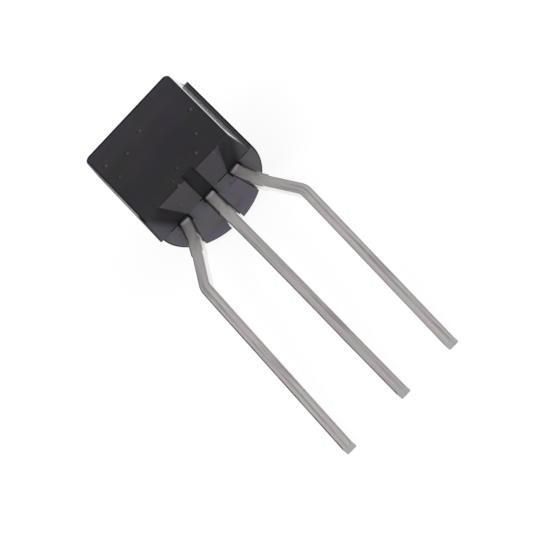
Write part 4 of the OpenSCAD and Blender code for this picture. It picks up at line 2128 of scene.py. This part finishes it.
@dataclass(frozen=True)
class Studio:
    """The plain pale floor, the soft lights and the camera."""

    boxes: tuple[SoftBox, ...] = (
        SoftBox("key", -55, 48, 0.42, 0.30, 2.3),
        SoftBox("fill", 75, 40, 0.45, 0.30, 1.5),
    )
    horizon: float = 0.72
    zenith: float = 0.56
    floor_side: float = 3.0
    floor_colour: Colour = (0.80, 0.80, 0.80)
    floor_shown: float = 0.25
    floor_glow: float = 0.86
    camera_azimuth: float = 3.203
    camera_elevation: float = 39.154
    camera_roll: float = -48.683
    camera_distance: float = 0.14996
    camera_aim: Point = (-0.0004141, 0.0015523, -0.000598)
    camera_lens: float = 279.7
    camera_clip: Pair = (0.01, 10.0)

    def floor(self) -> None:
        """The floor, which the camera and the gloss see as white with a light shadow."""
        half = self.floor_side / 2
        corners = [(-half, -half, 0), (half, -half, 0), (half, half, 0), (-half, half, 0)]
        mesh = bpy.data.meshes.new("floor")
        mesh.from_pydata(corners, [], [(0, 1, 2, 3)])
        floor = bpy.data.objects.new("floor", mesh)
        bpy.context.scene.collection.objects.link(floor)
        recipe = Recipe("floor_paper")
        rays = recipe.node("ShaderNodeLightPath", {}, {}).outputs
        kinds = ("Camera", "Glossy", "Transmission")
        seen = recipe.largest(*(Value(recipe, rays[f"Is {kind} Ray"]) for kind in kinds))
        shown = tuple(c * self.floor_shown for c in self.floor_colour)
        paper = recipe.node(
            "ShaderNodeBsdfDiffuse", {}, {"Color": recipe.blend(seen, self.floor_colour, shown)}
        )
        glow = recipe.node("ShaderNodeEmission", {}, {"Strength": seen * self.floor_glow})
        both = recipe.node("ShaderNodeAddShader", {}, {0: paper.outputs[0], 1: glow.outputs[0]})
        mesh.materials.append(recipe.finish(both.outputs[0]))

    def sky(self) -> None:
        """A plain even surround, a little lighter at the horizon."""
        world = bpy.data.worlds.new("studio")
        world.use_nodes = True
        bpy.context.scene.world = world
        nodes, links = world.node_tree.nodes, world.node_tree.links
        nodes.clear()
        place = nodes.new("ShaderNodeTexCoord")
        parts = nodes.new("ShaderNodeSeparateXYZ")
        ramp = nodes.new("ShaderNodeMapRange")
        background = nodes.new("ShaderNodeBackground")
        output = nodes.new("ShaderNodeOutputWorld")
        ramp.inputs["To Min"].default_value = self.horizon
        ramp.inputs["To Max"].default_value = self.zenith
        links.new(place.outputs["Generated"], parts.inputs[0])
        links.new(parts.outputs["Z"], ramp.inputs["Value"])
        links.new(ramp.outputs[0], background.inputs["Strength"])
        links.new(background.outputs[0], output.inputs["Surface"])

    def camera(self) -> None:
        """The camera, looking down on the flat with the leads to the lower right."""
        lens = bpy.data.cameras.new("camera")
        lens.lens = self.camera_lens
        lens.clip_start, lens.clip_end = self.camera_clip
        camera = bpy.data.objects.new("camera", lens)
        bpy.context.scene.collection.objects.link(camera)
        away = direction(self.camera_azimuth, self.camera_elevation)
        aimed = away.to_track_quat("Z", "Y").to_matrix().to_4x4()
        roll = Matrix.Rotation(math.radians(self.camera_roll), 4, "Z")
        place = Vector(self.camera_aim) + away * self.camera_distance
        camera.matrix_world = Matrix.Translation(place) @ aimed @ roll
        bpy.context.scene.camera = camera

    def build(self) -> None:
        """Sets up the studio."""
        self.floor()
        self.sky()
        for box in self.boxes:
            box.place()
        self.camera()
        bpy.context.scene.view_settings.view_transform = "Standard"


# ---------------------------------------------------------------- the whole


LEADS = (
    Lead("anode_lead", row=1, length=12.675, travel=1.20, lean=-1.3),
    Lead("gate_lead", row=0, length=12.63, bow=0.015, tip_shift=-0.01),
    Lead("cathode_lead", row=-1, length=12.585, travel=1.10, lean=1.3),
)


def report(piece: bpy.types.Object) -> None:
    """Logs a finished piece."""
    LOG.info("%s: %d faces", piece.name, len(piece.data.polygons))


def show(piece: bpy.types.Object, node: str) -> None:
    """Makes a finished piece stand for its CAD node.

    Args:
        piece: The piece.
        node: The CAD node.
    """
    piece.name = "shown_" + node
    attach(piece, "root")
    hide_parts(node)
    report(piece)


def main() -> None:
    """Builds the studio and the pieces."""
    logging.basicConfig(level=logging.INFO, format="%(message)s")
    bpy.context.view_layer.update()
    Studio().build()

    middle = LEADS[1]
    placement = Placement.from_frame(middle.length, middle.strip.thickness)
    tin = TinFinish().material(placement, middle.strip)
    tree = StripTree()
    leads = {lead.node: lead.build(tree, placement, tin) for lead in LEADS}
    sizes = MouldedCase()
    case = sizes.build(leads, LEADS, placement)

    compound = CompoundFinish().material(placement, sizes)
    show(case.set_down(placement, compound), "moulded_case")
    for node, lead in leads.items():
        show(lead.set_down(placement, tin), node)
    for node, finish in INNER_FINISHES.items():
        piece = frame["nodes"][node]
        material = finish.material(placement)
        piece.data.materials.clear()
        piece.data.materials.append(material)
        report(piece)


if __name__ == "__main__":
    main()
